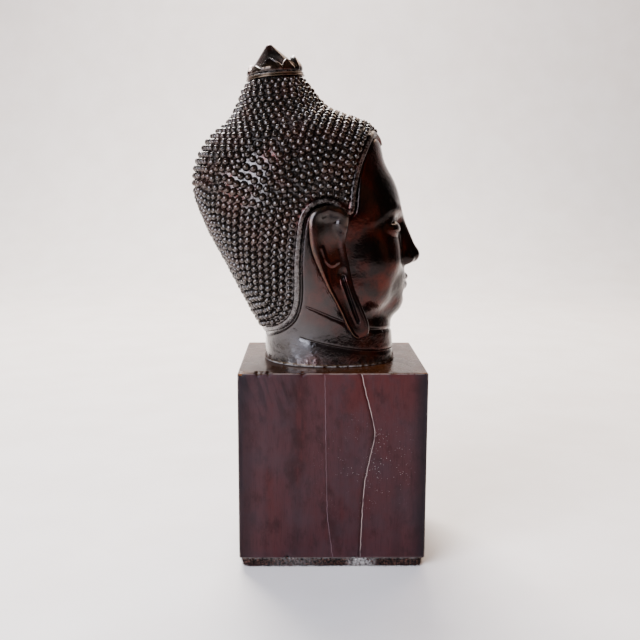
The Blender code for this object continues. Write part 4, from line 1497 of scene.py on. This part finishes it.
@dataclass
class Ear:
    """A long ear with a smooth rolled rim, a bowl with a mound and a small curl in it, and a slit lobe."""

    side: int
    # Along the ear from its top to the lobe's end: share of the way, then its back edge and its front edge.
    runs: tuple[float, ...] = (0.0, 0.06, 0.14, 0.24, 0.35, 0.48, 0.62, 0.76, 0.88, 0.96, 1.0)
    back: tuple[tuple[float, float, float], ...] = (
        (41.5, -5.0, 194.0), (42.6, -10.2, 191.8), (43.2, -12.8, 187.0), (43.4, -12.6, 179.5),
        (43.0, -11.4, 171.5), (41.6, -7.8, 162.0), (39.6, -2.6, 150.5), (37.8, 2.8, 140.0),
        (36.8, 6.6, 131.6), (36.2, 9.8, 126.0), (35.6, 12.4, 123.6),
    )
    front: tuple[tuple[float, float, float], ...] = (
        (40.6, -1.0, 194.4), (38.6, 4.6, 192.6), (36.6, 7.8, 188.6), (35.4, 7.4, 181.5), (34.8, 6.2, 174.6),
        (34.8, 8.4, 163.0), (34.8, 11.0, 151.4), (34.8, 15.2, 141.6), (34.6, 18.6, 133.0),
        (34.4, 19.0, 127.4), (34.4, 16.8, 123.8),
    )
    thickness: float = 4.0
    root_depth: float = 7.0
    rows: int = 200
    columns: int = 76
    # How far down the front edge the rolled rim reaches, as a share of the ear.
    rim_share: float = 0.2
    # Ridges (or furrows) of the bowl and the lobe: ahead and height along each, its half width and its rise.
    folds: tuple[tuple[tuple[tuple[float, float], ...], float, float], ...] = (
        (((-5.9, 172.4), (-4.5, 168.6), (-3.3, 165.4), (-0.7, 163.4), (2.5, 165.0)), 1.4, 1.0),
        (((5.2, 157.0), (5.9, 154.4), (7.2, 150.8), (9.1, 145.2), (11.3, 138.8), (13.2, 133.6)), 1.2, -1.7),
        (((3.9, 156.5), (4.4, 153.8), (5.8, 149.6), (7.8, 143.8), (10.2, 137.4), (12.6, 132.2)), 0.8, 0.6),
    )
    mound: tuple[float, float, float, float, float] = (-1.4, 179.6, 7.5, 13.0, 1.3)

    def edges(self) -> tuple[Array, Array, Array]:
        """Share of the way, back edge and front edge at each row, eased between their corners.

        Returns:
            The shares, the back edge and the front edge.
        """
        table = np.column_stack([self.runs, self.back, self.front])
        fine = smooth_path(table, 0.02)
        share = np.linspace(0, 1, self.rows)
        columns = [np.interp(share, fine[:, 0], column) for column in fine.T[1:]]
        return share, np.stack(columns[:3], axis=-1), np.stack(columns[3:], axis=-1)

    def relief(self, across: Array, far: Array, ahead: Array, height: Array) -> Array:
        """How far the outer face stands out from a flat ear.

        Args:
            across: share of the way from the back edge to the front edge.
            far: how far each point lies from the rim's outer edge.
            ahead: how far ahead each point lies.
            height: how high each point lies.

        Returns:
            The rise of each point.
        """
        wide = 2.1 + 3.6 * ease(height, 150, 186)
        rim = swell(far, wide * 0.5, wide * 0.7)
        floor = ease(far, wide * 0.75, wide * 1.6) * (1 - ease(across, 0.75, 1.0)) * ease(height, 150, 168)
        lobe = 0.9 * swell(height, 138, 16) * swell(across, 0.45, 0.4)
        brim = swell(across, 0.97, 0.13) * ease(height, 162, 152)
        middle, level, wide, tall, rise = self.mound
        mound = swell(np.hypot((ahead - middle - 0.12 * (height - level)) / wide,
                               (height - level) / tall), 0, 1)
        made = 1.4 * rim - (1.7 + 0.8 * swell(height, 176, 14)) * floor + rise * mound - lobe + 0.5 * brim
        spot = np.stack([ahead, height], axis=-1)
        for path, reach, rise in self.folds:
            path = smooth_path(np.array(path), 0.8)
            made = made + rise * swell(stroke(spot, path, [0.0] * len(path)), 0, reach)
        return made - 1.0 * swell(np.hypot((ahead - 4.6) / 3.6, (height - 158.0) / 5.0), 0, 1)

    def build(self, finish: bpy.types.Material) -> bpy.types.Object:
        """Make the ear.

        Args:
            finish: its patina.

        Returns:
            The finished piece.
        """
        share, back, front = self.edges()
        half = np.linspace(0, math.pi, self.columns)
        across = np.concatenate([(1 - np.cos(half)) / 2, (1 - np.cos(half[-2:0:-1])) / 2])
        outer = np.arange(len(across)) < self.columns
        bend = np.sin(np.concatenate([half, half[-2:0:-1]]))**0.45
        taper = np.sqrt(np.clip(1 - (2 * share - 1)**16, 0, 1))[:, None]
        points = back[:, None] + (front - back)[:, None] * across[:, None]
        rooted = (1 - ease(share, 0.5, 0.62))[:, None] * ease(across, 0.15, 0.4)
        body = self.thickness / 2 * bend * taper
        rim = np.vstack([front[int(self.rows * self.rim_share)::-1], back]) * (0, 1, 1)
        far = distances((points * (0, 1, 1)).reshape(-1, 3), rim).reshape(points.shape[:2])
        relief = self.relief(np.broadcast_to(across, points.shape[:2]), far, points[..., 1], points[..., 2])
        face = np.maximum(body + relief * bend * taper, 0.8 - body - rooted * self.root_depth)
        points[..., 0] += np.where(outer, face, -body - rooted * self.root_depth)
        rows, columns = points.shape[:2]
        numbers = {"wear": (0.07 * swell(far, 0.9, 1.0) * outer).ravel(), "dust": np.zeros(rows * columns)}
        points = points.reshape(-1, 3) * (self.side, 1, 1)
        name = "bronze_ear_left" if self.side > 0 else "bronze_ear_right"
        return piece(mesh_of(name, points, tube_faces(rows, columns), numbers), "bronze", finish)


@dataclass
class Finial:
    """A double ring, a ring of lotus petals with smaller ones behind their gaps, and a pointed bud."""

    centre: tuple[float, float, float] = (0.0, -31.2, 262.7)
    petals: int = 4
    first_turn: float = math.radians(-5.5)
    # Belly and tip from the axis, tip's height and half the share of a turn: broad petals, then small ones.
    broad: tuple[float, ...] = (15.3, 12.5, 8.5, 0.3)
    small: tuple[float, ...] = (14.8, 12.3, 6.5, 0.27)
    # Height and radius of the drum with its two beads.
    drum: tuple[tuple[float, float], ...] = (
        (-6.0, 13.6), (-2.6, 14.3), (-2.1, 14.7), (-1.85, 15.4), (-1.4, 15.9), (-0.9, 15.95), (-0.5, 15.55),
        (-0.35, 15.25), (-0.15, 15.45), (0.15, 15.7), (0.45, 15.55), (0.65, 15.0), (0.75, 12.6),
    )
    # The bud: a cone with this half angle under a round tip of this radius, its apex this high.
    bud_angle: float = math.radians(42)
    bud_tip: float = 2.3
    bud_top: float = 17.0
    bud_shift: float = -0.5
    ring_lean: float = 5.5
    bud_lean: float = 10.0
    petal_lean: float = 12.5

    def leaning(self, points: Array, most: float) -> Array:
        """Tilt upright points back, more above the ring than in it, and put them in their place.

        Args:
            points: upright points round the axis.
            most: the lean high up, in degrees.

        Returns:
            The points on the head.
        """
        side, ahead, height = points.T
        lean = np.radians(self.ring_lean + (most - self.ring_lean) * ease(height, 0.8, 7.5))
        return np.array(self.centre) + np.stack([side, ahead * np.cos(lean) - height * np.sin(lean),
                                                 ahead * np.sin(lean) + height * np.cos(lean)], axis=-1)

    def core(self) -> tuple[Array, Faces]:
        """The turned form: drum, beads and bud.

        Returns:
            Its points and faces.
        """
        columns = 72
        turn = np.linspace(math.radians(4), math.pi / 2 - self.bud_angle, 6)[::-1]
        middle = self.bud_top - self.bud_tip
        tip = np.stack([middle + self.bud_tip * np.cos(turn), self.bud_tip * np.sin(turn)], axis=-1)
        foot = 3.6
        base = np.array([(foot, tip[0, 1] + (tip[0, 0] - foot) * math.tan(self.bud_angle))])
        drum = smooth_path(np.array(self.drum), 0.32)
        profile = np.vstack([drum, base - (2.8, -0.1), resample(np.vstack([base, tip[:1]]), 0.6)[:-1], tip])
        turn = np.linspace(0, math.tau, columns, endpoint=False)
        height, radius = profile.T
        ahead = radius[:, None] * np.cos(turn) + self.bud_shift * ease(height, 0.7, foot)[:, None]
        points = np.stack([radius[:, None] * np.sin(turn), ahead, np.repeat(height[:, None], columns, 1)],
                          axis=-1)
        return points.reshape(-1, 3), tube_faces(len(profile), columns)

    def petal(self, turn: float, bulge: float, top: float, tip: float, half_turn: float
              ) -> tuple[Array, Faces]:
        """One petal: a cupped leaf with a pointed tip, a carved line inside its edge and a middle rib.

        Args:
            turn: where it stands round the bud.
            bulge: how far its belly stands from the axis.
            top: how far its tip stands from the axis.
            tip: how high its tip reaches.
            half_turn: half the angle that it spans.

        Returns:
            Its points and faces, a closed shell.
        """
        rows, columns = 26, 17
        up = np.linspace(0, 1, rows)[:, None]**0.9
        over = np.linspace(-1, 1, columns)[None, :]
        height = 0.6 + (tip - 0.6) * (up - 0.16 * over**2 * up * (1 - up))
        width = half_turn * np.clip(1 - up**2.2, 0, 1)**0.85 + 0.004
        belly = np.interp(up, (0, 0.12, 0.26, 0.42, 1), (bulge - 1.0, bulge - 0.2, bulge, bulge - 0.3, top))
        edge = 0.4 * swell(np.abs(over), 0.84, 0.17) - 0.3 * swell(np.abs(over), 0.58, 0.14)
        edge = (edge + 0.2 * swell(over, 0, 0.16) * (1 - up)) * (1 - up**4)
        radius = belly - 0.8 * over**2 * (1 - up) + edge
        angle = turn + over * width
        shell = []
        for inward in (0.0, 1.0):
            around = radius - inward * (0.9 + 5.5 * np.sqrt(1 - up)) * (1 - 0.25 * over**2)
            shell.append(np.stack([around * np.sin(angle), around * np.cos(angle),
                                   np.broadcast_to(height, angle.shape)], axis=-1).reshape(-1, 3))
        faces: Faces = []
        count = rows * columns
        for row in range(rows - 1):
            for column in range(columns - 1):
                corner = row * columns + column
                quad = [corner, corner + 1, corner + 1 + columns, corner + columns]
                faces += [quad, [count + number for number in reversed(quad)]]
        rim = [*range(columns), *range(2 * columns - 1, count, columns),
               *range(count - 2, count - columns - 1, -1), *range(count - 2 * columns, 0, -columns)]
        faces += [[start, end, count + end, count + start] for start, end in zip(rim, rim[1:] + rim[:1])]
        return np.vstack(shell), faces

    def build(self, finish: bpy.types.Material) -> list[bpy.types.Object]:
        """Make the finial.

        Args:
            finish: its patina.

        Returns:
            Its turned core and its petals.
        """
        core, core_faces = self.core()
        wear = {"wear": 0.16 * swell(core[:, 2], -0.6, 1.6), "dust": 0.3 * swell(core[:, 2], 0.8, 1.0)}
        points, faces = [], []
        pitch = math.tau / self.petals
        for number in range(self.petals):
            for shift, (*form, half) in ((0.5, self.small), (0.0, self.broad)):
                grown, leaves = self.petal(self.first_turn + (number + shift) * pitch, *form, half * pitch)
                start = sum(len(group) for group in points)
                faces += [[start + corner for corner in face] for face in leaves]
                points.append(grown)
        points = np.vstack(points)
        numbers = {"wear": 0.1 * swell(points[:, 2], 4, 3), "dust": 0.3 * swell(points[:, 2], 0.8, 1.0)}
        return [piece(mesh_of("finial_bud", self.leaning(core, self.bud_lean), core_faces, wear),
                      "bronze", finish),
                piece(mesh_of("finial_petals", self.leaning(points, self.petal_lean), faces, numbers),
                      "bronze", finish)]


class BoardFinish(Enum):
    """The block's finishes, by their place in its list of materials."""

    SIDE = 0
    TOP = 1
    CRACK = 2
    GLUE = 3


@dataclass
class WoodBlock:
    """The block's boards: softly worn edges, small chips, an open crack and a glue line down one side."""

    low: Array
    high: Array
    edge: float = 0.9
    # Ahead and height down the crack and down the glue line of the side at -X.
    crack: tuple[tuple[float, float], ...] = (
        (14.9, 107.7), (17.3, 97.0), (20.0, 86.8), (22.1, 77.6), (22.2, 72.7), (19.8, 61.7), (17.2, 48.5),
        (16.4, 38.4), (16.1, 34.0), (15.5, 18.8), (15.1, 6.0),
    )
    glue: tuple[tuple[float, float], ...] = (
        (-4.3, 107.7), (-3.7, 72.7), (-3.2, 49.6), (-2.7, 29.5), (0.3, 6.0),
    )
    # Ahead, height, reach and depth of the chips along that side's edges.
    chips: tuple[tuple[float, float, float, float], ...] = (
        (-48.5, 107.5, 1.6, 1.0), (-39.6, 107.5, 1.3, 0.9), (-37.0, 107.6, 0.9, 0.6),
        (-33.9, 107.5, 1.1, 0.8), (-16.0, 107.6, 1.6, 0.7), (31.0, 107.6, 1.2, 0.5),
        (-24.0, 5.9, 1.6, 0.9), (12.0, 5.8, 1.2, 0.6), (49.6, 61.0, 1.2, 0.6), (-49.7, 78.0, 1.0, 0.5),
    )

    # Columns beside the crack's middle and beside the glue line's.
    groove: tuple[float, ...] = (-0.8, -0.66, -0.5, -0.34, -0.2, 0.2, 0.4)
    seam: tuple[float, ...] = (-0.15, 0.15)
    # Share of the worn colour on the upright edges and along the bottom; the top edge has all of it.
    upright_wear: float = 0.25
    bottom_wear: float = 0.9

    def spans(self, low: float, high: float, step: float, extra: Sequence[float] = ()) -> Array:
        """Even places between two, with extra ones let in."""
        return np.unique(np.concatenate([np.linspace(low, high, round((high - low) / step) + 1), extra]))

    def build(self, side_finish: bpy.types.Material, top_finish: bpy.types.Material,
              filler: bpy.types.Material, glue: bpy.types.Material) -> bpy.types.Object:
        """Make the block.

        Args:
            side_finish: the stained sides.
            top_finish: the board on top, its warmer colour partly a painted warm reflection.
            filler: what lies in the crack.
            glue: what shows along the glue line.

        Returns:
            The finished piece.
        """
        half, floor, top = float(self.high[0]), float(self.low[2]), float(self.high[2])
        reach = float(self.high[1])
        crack_at, glue_at = self.crack[5][0], self.glue[2][0]
        plain = self.spans(-reach + self.edge, reach - self.edge, 1.5,
                           [ahead + shift for ahead, _, size, _ in self.chips
                            for shift in (-size / 2, 0, size / 2) if abs(ahead) < reach - 2])
        plain = plain[(np.abs(plain - crack_at) > 1.0) & (np.abs(plain - glue_at) > 1.0)]
        columns = np.unique(np.concatenate([plain, crack_at + np.array(self.groove),
                                            glue_at + np.array(self.seam)]))
        rounding = np.array((1.0, 0.93, 0.75, 0.5, 0.25, 0.07))
        shrink = np.array((40.0, 25.0, 12.0, 6.0, 2.4))
        aheads = np.concatenate([np.full(len(shrink), -reach),
                                 -reach + self.edge * (1 - np.sqrt(1 - (1 - rounding)**2)), columns,
                                 reach - self.edge * (1 - np.sqrt(1 - (1 - rounding[::-1])**2)),
                                 np.full(len(shrink), reach)])
        insets = np.concatenate([np.ones(len(shrink)), rounding, np.zeros(len(columns)), rounding[::-1],
                                 np.ones(len(shrink))]) * self.edge
        scales = np.ones(len(aheads))
        scales[:len(shrink)] = 1 - shrink / half
        scales[-len(shrink):] = scales[:len(shrink)][::-1]
        loop, inward = self.loop(half, floor, top)
        across, upward = (loop[None] + insets[:, None, None] * inward[None]).transpose(2, 0, 1)
        level = (floor + top) / 2
        points = np.stack([across * scales[:, None], np.broadcast_to(aheads[:, None], across.shape),
                           level + (upward - level) * scales[:, None]], axis=-1)
        kinds = self.open_crack(points, aheads, half, crack_at, glue_at)
        self.chip(points, half, level)
        wave = 0.1 * (1 + np.sin(points[..., 2] * 0.11 + 1) * np.sin(points[..., 1] * 0.09))
        points[..., 0] -= wave * np.sign(points[..., 0]) * (np.abs(points[..., 0]) > half - 0.05)
        flat = points.reshape(-1, 3)
        gaps = np.stack([half - np.abs(flat[:, 0]), reach - np.abs(flat[:, 1]),
                         np.minimum(flat[:, 2] - floor, top - flat[:, 2])], axis=-1)
        # How near each point is to an upright edge: the sides get painted shade there, the top a painted warm
        # reflection.
        margin = 1 - ease(np.max(gaps[:, :2], axis=-1), 0, 11)
        share = np.where(top - flat[:, 2] < 3, 1.0, np.where(flat[:, 2] - floor < 3, self.bottom_wear,
                                                             self.upright_wear))
        numbers = {"wear": share * swell(np.maximum(np.sort(gaps, axis=-1)[:, 1], 0), 0, 0.85),
                   "margin": margin}
        mesh = mesh_of("rosewood_block", flat, tube_faces(*points.shape[:2]), numbers)
        made = piece(mesh, "dark_wood", side_finish, top_finish, filler, glue)
        flags = kinds.ravel()
        for polygon in mesh.polygons:
            if polygon.normal.z > 0.75:
                polygon.material_index = BoardFinish.TOP.value
            elif len(polygon.vertices) == 4:
                polygon.material_index = int(min(flags[number] for number in polygon.vertices))
        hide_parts("wood_block")
        return made

    def open_crack(self, points: Array, aheads: Array, half: float, crack_at: float, glue_at: float) -> Array:
        """Bend the columns along crack and glue line, and sink them there.

        Args:
            points: the block's loops, changed in place.
            aheads: where each loop started.
            half: half the block's width.
            crack_at: where the crack's middle column started.
            glue_at: where the glue line's middle column started.

        Returns:
            The finish that each point belongs to.
        """
        on_face = ease(-points[..., 0], half - 22, half - 2)
        opening = points[..., 0] < -half + 0.4
        kinds = np.zeros(points.shape[:2], dtype=int)
        for path, at, finish in ((self.crack, crack_at, BoardFinish.CRACK),
                                 (self.glue, glue_at, BoardFinish.GLUE)):
            ahead, height = np.array(path)[::-1].T
            line = np.interp(points[..., 2], height, ahead)
            line = line + 0.09 * np.sin(points[..., 2] * 1.1) + 0.05 * np.sin(points[..., 2] * 2.9 + 1)
            offset = np.broadcast_to((aheads - at)[:, None], line.shape)
            points[..., 1] += (line - at) * on_face * (1 - np.clip(np.abs(offset) / 14, 0, 1)**2)
            if finish is BoardFinish.CRACK:
                points[..., 0] += opening * (0.6 * swell(offset, -0.53, 0.25)
                                             - 0.05 * (np.abs(offset) < 0.25))
            kinds[opening & (np.abs(offset) < 0.25)] = finish.value
        return kinds

    def chip(self, points: Array, half: float, level: float) -> None:
        """Bite the chips out of the edges, in place.

        Args:
            points: the block's points.
            half: half its width.
            level: its middle height.
        """
        for ahead, height, size, depth in self.chips:
            gap = np.hypot(points[..., 1] - ahead, points[..., 2] - height)
            bite = depth * swell(gap, 0, size * 1.4) * (points[..., 0] < -half + 4)
            points[..., 0] += bite
            points[..., 2] -= bite * np.sign(height - level) * 0.8

    def loop(self, half: float, floor: float, top: float) -> tuple[Array, Array]:
        """An upright outline: side and height round the block, and the way in at each point.

        Args:
            half: half the block's width.
            floor: its underside.
            top: its top.

        Returns:
            Points and inward directions.
        """
        # Wider than the way in at the ends, so that the corners there keep some width.
        radius = self.edge * 1.25
        turn = np.linspace(0, math.pi / 2, 6)
        points, inward = [], []
        sides = (((half, floor), (1, -1), -math.pi / 2), ((half, top), (1, 1), 0.0),
                 ((-half, top), (-1, 1), math.pi / 2), ((-half, floor), (-1, -1), math.pi))
        for number, ((side, height), (out, up), start) in enumerate(sides):
            for angle in start + turn:
                points.append((side - out * radius + radius * math.cos(angle),
                               height - up * radius + radius * math.sin(angle)))
                inward.append((-math.cos(angle), -math.sin(angle)))
            (next_side, next_height), (next_out, next_up), _ = sides[(number + 1) % 4]
            last = np.array(points[-1])
            angle = start + math.pi / 2
            goal = np.array((next_side - next_out * radius + radius * math.cos(angle),
                             next_height - next_up * radius + radius * math.sin(angle)))
            count = round(float(np.hypot(*(goal - last))) / 1.7)
            for share in np.arange(1, count) / count:
                points.append(tuple(last + (goal - last) * share))
                inward.append((-math.cos(angle), -math.sin(angle)))
        return np.array(points), np.array(inward)


@dataclass
class FeltPad:
    """The felt under the block: soft uneven edges, loose fibres, and dust caught along one side."""

    # The far corner of its box, in millimetres.
    high: Array
    corner: float = 3.0
    # How far apart points lie round the pad, and the height and inset of each row of them below its top.
    step: float = 0.9
    rows: tuple[tuple[float, float], ...] = (
        (0.0, 14.0), (0.02, 3.0), (0.15, 1.0), (0.7, 0.45), (1.5, 0.2), (2.4, 0.12), (3.3, 0.12), (4.2, 0.25),
        (4.9, 0.5), (5.3, 1.0),
    )
    fibres: int = 9000
    seed: int = 11

    def slab(self) -> bpy.types.Mesh:
        """The pad's body, its edges wavy and lumpy.

        Returns:
            The body's mesh.
        """
        half, reach, top = float(self.high[0]), float(self.high[1]), float(self.high[2])
        turn = np.linspace(0, math.pi / 2, 8)
        outline = []
        for out, ahead, start in ((1, 1, 0.0), (-1, 1, math.pi / 2), (-1, -1, math.pi),
                                  (1, -1, 1.5 * math.pi)):
            for angle in start + turn:
                outline.append((out * (half - self.corner) + self.corner * math.cos(angle),
                                ahead * (reach - self.corner) + self.corner * math.sin(angle)))
        outline = resample(np.array([*outline, outline[0]]), self.step)[:-1]
        run = np.arange(len(outline)) * self.step
        middle = outline / np.array((half, reach))
        inward = -np.sign(middle) * (np.abs(middle) > 0.93)
        rows = []
        for height, inset in (*self.rows, (top, 2.2), (top, 14.0)):
            ragged = 0.22 * np.sin(run * 0.9 + height * 2.1) + 0.2 * np.sin(run * 2.3 - height * 3.3) + 0.24
            ragged *= 1 if height > 0.1 and inset < 2 else 0
            edge = outline + inward * (inset + np.maximum(ragged, 0))[:, None]
            lift = np.where(height < 1, 0.16 * np.maximum(np.sin(run * 0.7), 0) * (inset < 2), 0)
            rows.append(np.column_stack([edge, np.minimum(height + lift, top)]))
        points = np.vstack(rows)
        dust = 1.5 * swell(points[:, 1], 15.8, 9.5) + 0.25 * swell(points[:, 1], -20, 20)
        dust = dust * (points[:, 0] < 0)
        dust = np.maximum(dust, 0.8 * swell(points[:, 2], 5.3, 1.2))
        return mesh_of("felt_slab", points, tube_faces(len(rows), len(outline)), {"dust": dust})

    def fibre(self) -> bpy.types.Mesh:
        """One loose fibre of unit length: a thin bent strand with three sides.

        Returns:
            The strand's mesh.
        """
        path = np.array([(0, 0, -0.15), (0.1, 0.02, 0.4), (0.5, 0.1, 0.85)])
        # Real fibres are a fiftieth of a millimetre thick; these are as coarse as they need to be to show.
        points = [centre + 0.07 * thin * np.array((math.cos(angle), math.sin(angle), 0))
                  for centre, thin in zip(path, (1, 0.95, 0.3))
                  for angle in (0, math.tau / 3, 2 * math.tau / 3)]
        return mesh_of("fibre", np.array(points) * (1 / MM, -1 / MM, 1 / MM), tube_faces(3, 3))

    def build(self, finish: bpy.types.Material) -> bpy.types.Object:
        """Make the pad.

        Args:
            finish: its felt.

        Returns:
            The finished piece.
        """
        strand = bpy.data.objects.new("fibre", self.fibre())
        recipe = Recipe("felt_under_block", {"Fibre": ("Object", strand), "Fibres": ("Int", self.fibres),
                                             "Longest": ("Float", 1.7 * MM), "Seed": ("Int", self.seed),
                                             "Material": ("Material", finish)})
        given = recipe.given
        normal = recipe.add("GeometryNodeInputNormal")
        across = recipe.add("ShaderNodeSeparateXYZ", {0: normal}, 2)
        upward = recipe.add("ShaderNodeMath", {0: across}, operation="ABSOLUTE")
        level = recipe.add("ShaderNodeMath", {0: upward, 1: 0.75}, operation="LESS_THAN")
        density = recipe.add("ShaderNodeMath", {0: given["Fibres"], 1: 2e-3}, operation="DIVIDE")
        spread = recipe.tree.nodes.new("GeometryNodeDistributePointsOnFaces")
        connect(spread, {"Mesh": given["Geometry"], "Selection": level, "Density": density,
                         "Seed": given["Seed"]})
        spin = recipe.add("FunctionNodeRandomValue", {"Min": (-0.9, -0.9, 0.0), "Max": (0.9, 0.9, math.tau),
                                                      "Seed": given["Seed"]}, data_type="FLOAT_VECTOR")
        turned = recipe.add("FunctionNodeRotateRotation", {"Rotation": spread.outputs["Rotation"],
                                                           "Rotate By": spin}, rotation_space="LOCAL")
        least = recipe.add("ShaderNodeMath", {0: given["Longest"], 1: 0.4}, operation="MULTIPLY")
        long = recipe.add("FunctionNodeRandomValue", {2: least, 3: given["Longest"],
                                                         "Seed": given["Seed"]}, 1,
                          data_type="FLOAT")
        fibre = recipe.add("GeometryNodeObjectInfo", {"Object": given["Fibre"]}, "Geometry")
        grown = recipe.add("GeometryNodeInstanceOnPoints", {"Points": spread.outputs["Points"],
                                                             "Instance": fibre,
                                                            "Rotation": turned, "Scale": long})
        joined = recipe.tree.nodes.new("GeometryNodeJoinGeometry")
        recipe.tree.links.new(given["Geometry"], joined.inputs[0])
        recipe.tree.links.new(grown, joined.inputs[0])
        mesh = recipe.cook(self.slab(), joined.outputs[0])
        self.keep_inside(mesh)
        bpy.data.objects.remove(strand)
        made = piece(mesh, "dark_felt", finish)
        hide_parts("felt_pad")
        return made

    def keep_inside(self, mesh: bpy.types.Mesh) -> None:
        """Bend fibres that reach past the felt's own space back into it.

        Args:
            mesh: the pad with its fibres.
        """
        spots = np.empty(len(mesh.vertices) * 3, dtype=np.float32)
        mesh.vertices.foreach_get("co", spots)
        spots = spots.reshape(-1, 3)
        spots[:, 2] = np.clip(spots[:, 2], 0, self.high[2] * MM)
        mesh.vertices.foreach_set("co", spots.ravel())
        mesh.update()


# The studio -------------------------------------------------------------------------------------------------

@dataclass(frozen=True)
class Lamp:
    """A soft light that faces the object."""

    name: str
    place: tuple[float, float, float]
    radiance: float
    width: float
    tall: float
    color: str

    def build(self, goal: Vector) -> None:
        """Hang the light and turn it to the goal.

        Args:
            goal: the place that it lights.
        """
        data = bpy.data.lights.new(self.name, "AREA")
        data.shape, data.size, data.size_y = "RECTANGLE", self.width, self.tall
        data.energy = self.radiance * math.pi * self.width * self.tall
        data.color = linear(self.color)[:3]
        made = bpy.data.objects.new(self.name, data)
        made.location = self.place
        made.rotation_euler = (goal - Vector(self.place)).to_track_quat("-Z", "Y").to_euler()
        bpy.context.scene.collection.objects.link(made)


@dataclass
class Studio:
    """White paper that sweeps up behind, a dim pale room, soft lights and a camera at the head's right."""

    camera: tuple[float, float, float] = (-0.4882, 0.0129, 0.2057)
    pitch: float = math.radians(8.98)
    yaw: float = math.radians(0.77)
    roll: float = math.radians(0.21)
    lens: float = 48.94
    room: str = "#c8b4a4"
    room_light: float = 0.11
    sweep: tuple[float, float] = (1.0, 0.5)
    lamps: tuple[Lamp, ...] = (
        Lamp("window", (-0.82, 0.72, 0.55), 19.0, 0.8, 0.85, "#e4ecff"),
        Lamp("back_wall", (-0.45, 1.3, 0.1), 1.4, 0.9, 0.9, "#fff0de"),
        Lamp("room_front", (-0.6, -1.0, 0.5), 0.6, 0.5, 0.8, "#ff9d6a"),
        Lamp("ceiling", (0.95, 0.25, 1.3), 34.0, 0.8, 0.8, "#fffaf6"),
        Lamp("far_side", (0.8, -0.5, 0.9), 6.0, 0.5, 0.5, "#ffe0c4"),
    )

    def paper(self) -> bpy.types.Mesh:
        """The floor and the curve behind it, as one strip.

        Returns:
            The strip's mesh.
        """
        ahead, radius = self.sweep
        turn = np.linspace(0, math.pi / 2, 24)
        curve = zip(ahead + radius * np.sin(turn[1:]), radius - radius * np.cos(turn[1:]))
        profile = [(-3.0, 0.0), (ahead, 0.0), *curve, (ahead + radius, 2.2)]
        points = [(x, y, z) for x, z in profile for y in (-3.0, 3.0)]
        faces = [(2 * row, 2 * row + 2, 2 * row + 3, 2 * row + 1) for row in range(len(profile) - 1)]
        mesh = bpy.data.meshes.new("paper_sweep")
        mesh.from_pydata(points, [], faces)
        mesh.shade_smooth()
        mesh.materials.append(StudioPaper().material())
        return mesh

    def build(self) -> None:
        """Make paper, room, lights and camera."""
        made = bpy.data.objects.new("paper_sweep", self.paper())
        bpy.context.scene.collection.objects.link(made)
        world = bpy.data.worlds.new("room")
        world.use_nodes = True
        connect(world.node_tree.nodes["Background"], {"Color": self.room, "Strength": self.room_light})
        bpy.context.scene.world = world
        for lamp in self.lamps:
            lamp.build(Vector((0, 0, 0.17)))
        self.place_camera()

    def place_camera(self) -> None:
        """Set the camera up, turned, tipped and rolled as a hand would hold it."""
        ahead = Vector((math.cos(self.yaw) * math.cos(self.pitch), -math.sin(self.yaw) * math.cos(self.pitch),
                        -math.sin(self.pitch)))
        right = Vector((-math.sin(self.yaw), -math.cos(self.yaw), 0))
        up = right.cross(ahead)
        right, up = (math.cos(self.roll) * right + math.sin(self.roll) * up,
                     math.cos(self.roll) * up - math.sin(self.roll) * right)
        data = bpy.data.cameras.new("camera")
        data.lens, data.sensor_width = self.lens, 36.0
        made = bpy.data.objects.new("camera", data)
        turn = Matrix((right, up, -ahead)).transposed().to_4x4()
        made.matrix_world = Matrix.Translation(Vector(self.camera)) @ turn
        bpy.context.scene.collection.objects.link(made)
        bpy.context.scene.camera = made


def millimetres(node: str) -> tuple[Array, Array]:
    """Lowest and highest corner of a CAD node in sculpting millimetres, the face ahead."""
    low, high = (np.array(corner, dtype=float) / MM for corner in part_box(node))
    return np.array((low[0], -high[1], low[2])), np.array((high[0], -low[1], high[2]))


def main() -> None:
    """Build the head, its hair, ears and finial, then block, felt and studio."""
    logging.basicConfig(level=logging.INFO, format="%(name)s: %(message)s")
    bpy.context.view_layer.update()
    # In each bronze the waxed colour is partly a painted grey sheen and the thin brown partly a painted red
    # reflection.
    bronze = PatinatedBronze().material()
    smooth = PatinatedBronze("Waxed brown bronze, smooth", waxed="#201b18", waves=0.1, wax=(0.1, 0.5),
                             kept_wax_and_sheen=((0.0, 0.03, 0.2), 0.088)).material()
    curled = PatinatedBronze("Waxed brown bronze, carved hair", brown="#171110", thin_brown_and_red_reflection="#2b1712",
                             gloss=0.12,
                             satin=0.22, metallic=(0.6, 0.6), wax=(0.4, 0.4), waxed="#171110").material()
    side_wood = StainedRosewood("Stained rosewood, upright grain", (1, 1, 12)).material()
    # The top's warmer colours are partly a painted warm reflection; its margin colour is a painted warm
    # reflection near the upright edges.
    top_wood = StainedRosewood("Waxed rosewood, lying grain", (1, 12, 1), middle="#351b0d", dark="#180d08",
                               red="#4d270f", stain="#160b07", bloom="#2b190f", margin="#6e4220",
                               shine=0.08, satin=(0.26, 0.4)).material()
    wax = OldFiller("Wax and dust in a crack", "#7a6963").material()
    glue = OldFiller("Old glue line", "#4b3439", "#36201f", (0.3, 0.6)).material()

    head = HeadForm()
    hair = HairLine(head)
    HeadSkin(head, hair, float(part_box("bronze_head")[0][2]) / MM).build(bronze)
    Curls(head, hair).build(curled)
    for side in (-1, 1):
        Ear(side).build(smooth)
    Finial().build(smooth)
    WoodBlock(*millimetres("wood_block")).build(side_wood, top_wood, wax, glue)
    FeltPad(millimetres("felt_pad")[1]).build(PressedFelt().material())
    Studio().build()


if __name__ == "__main__":
    main()
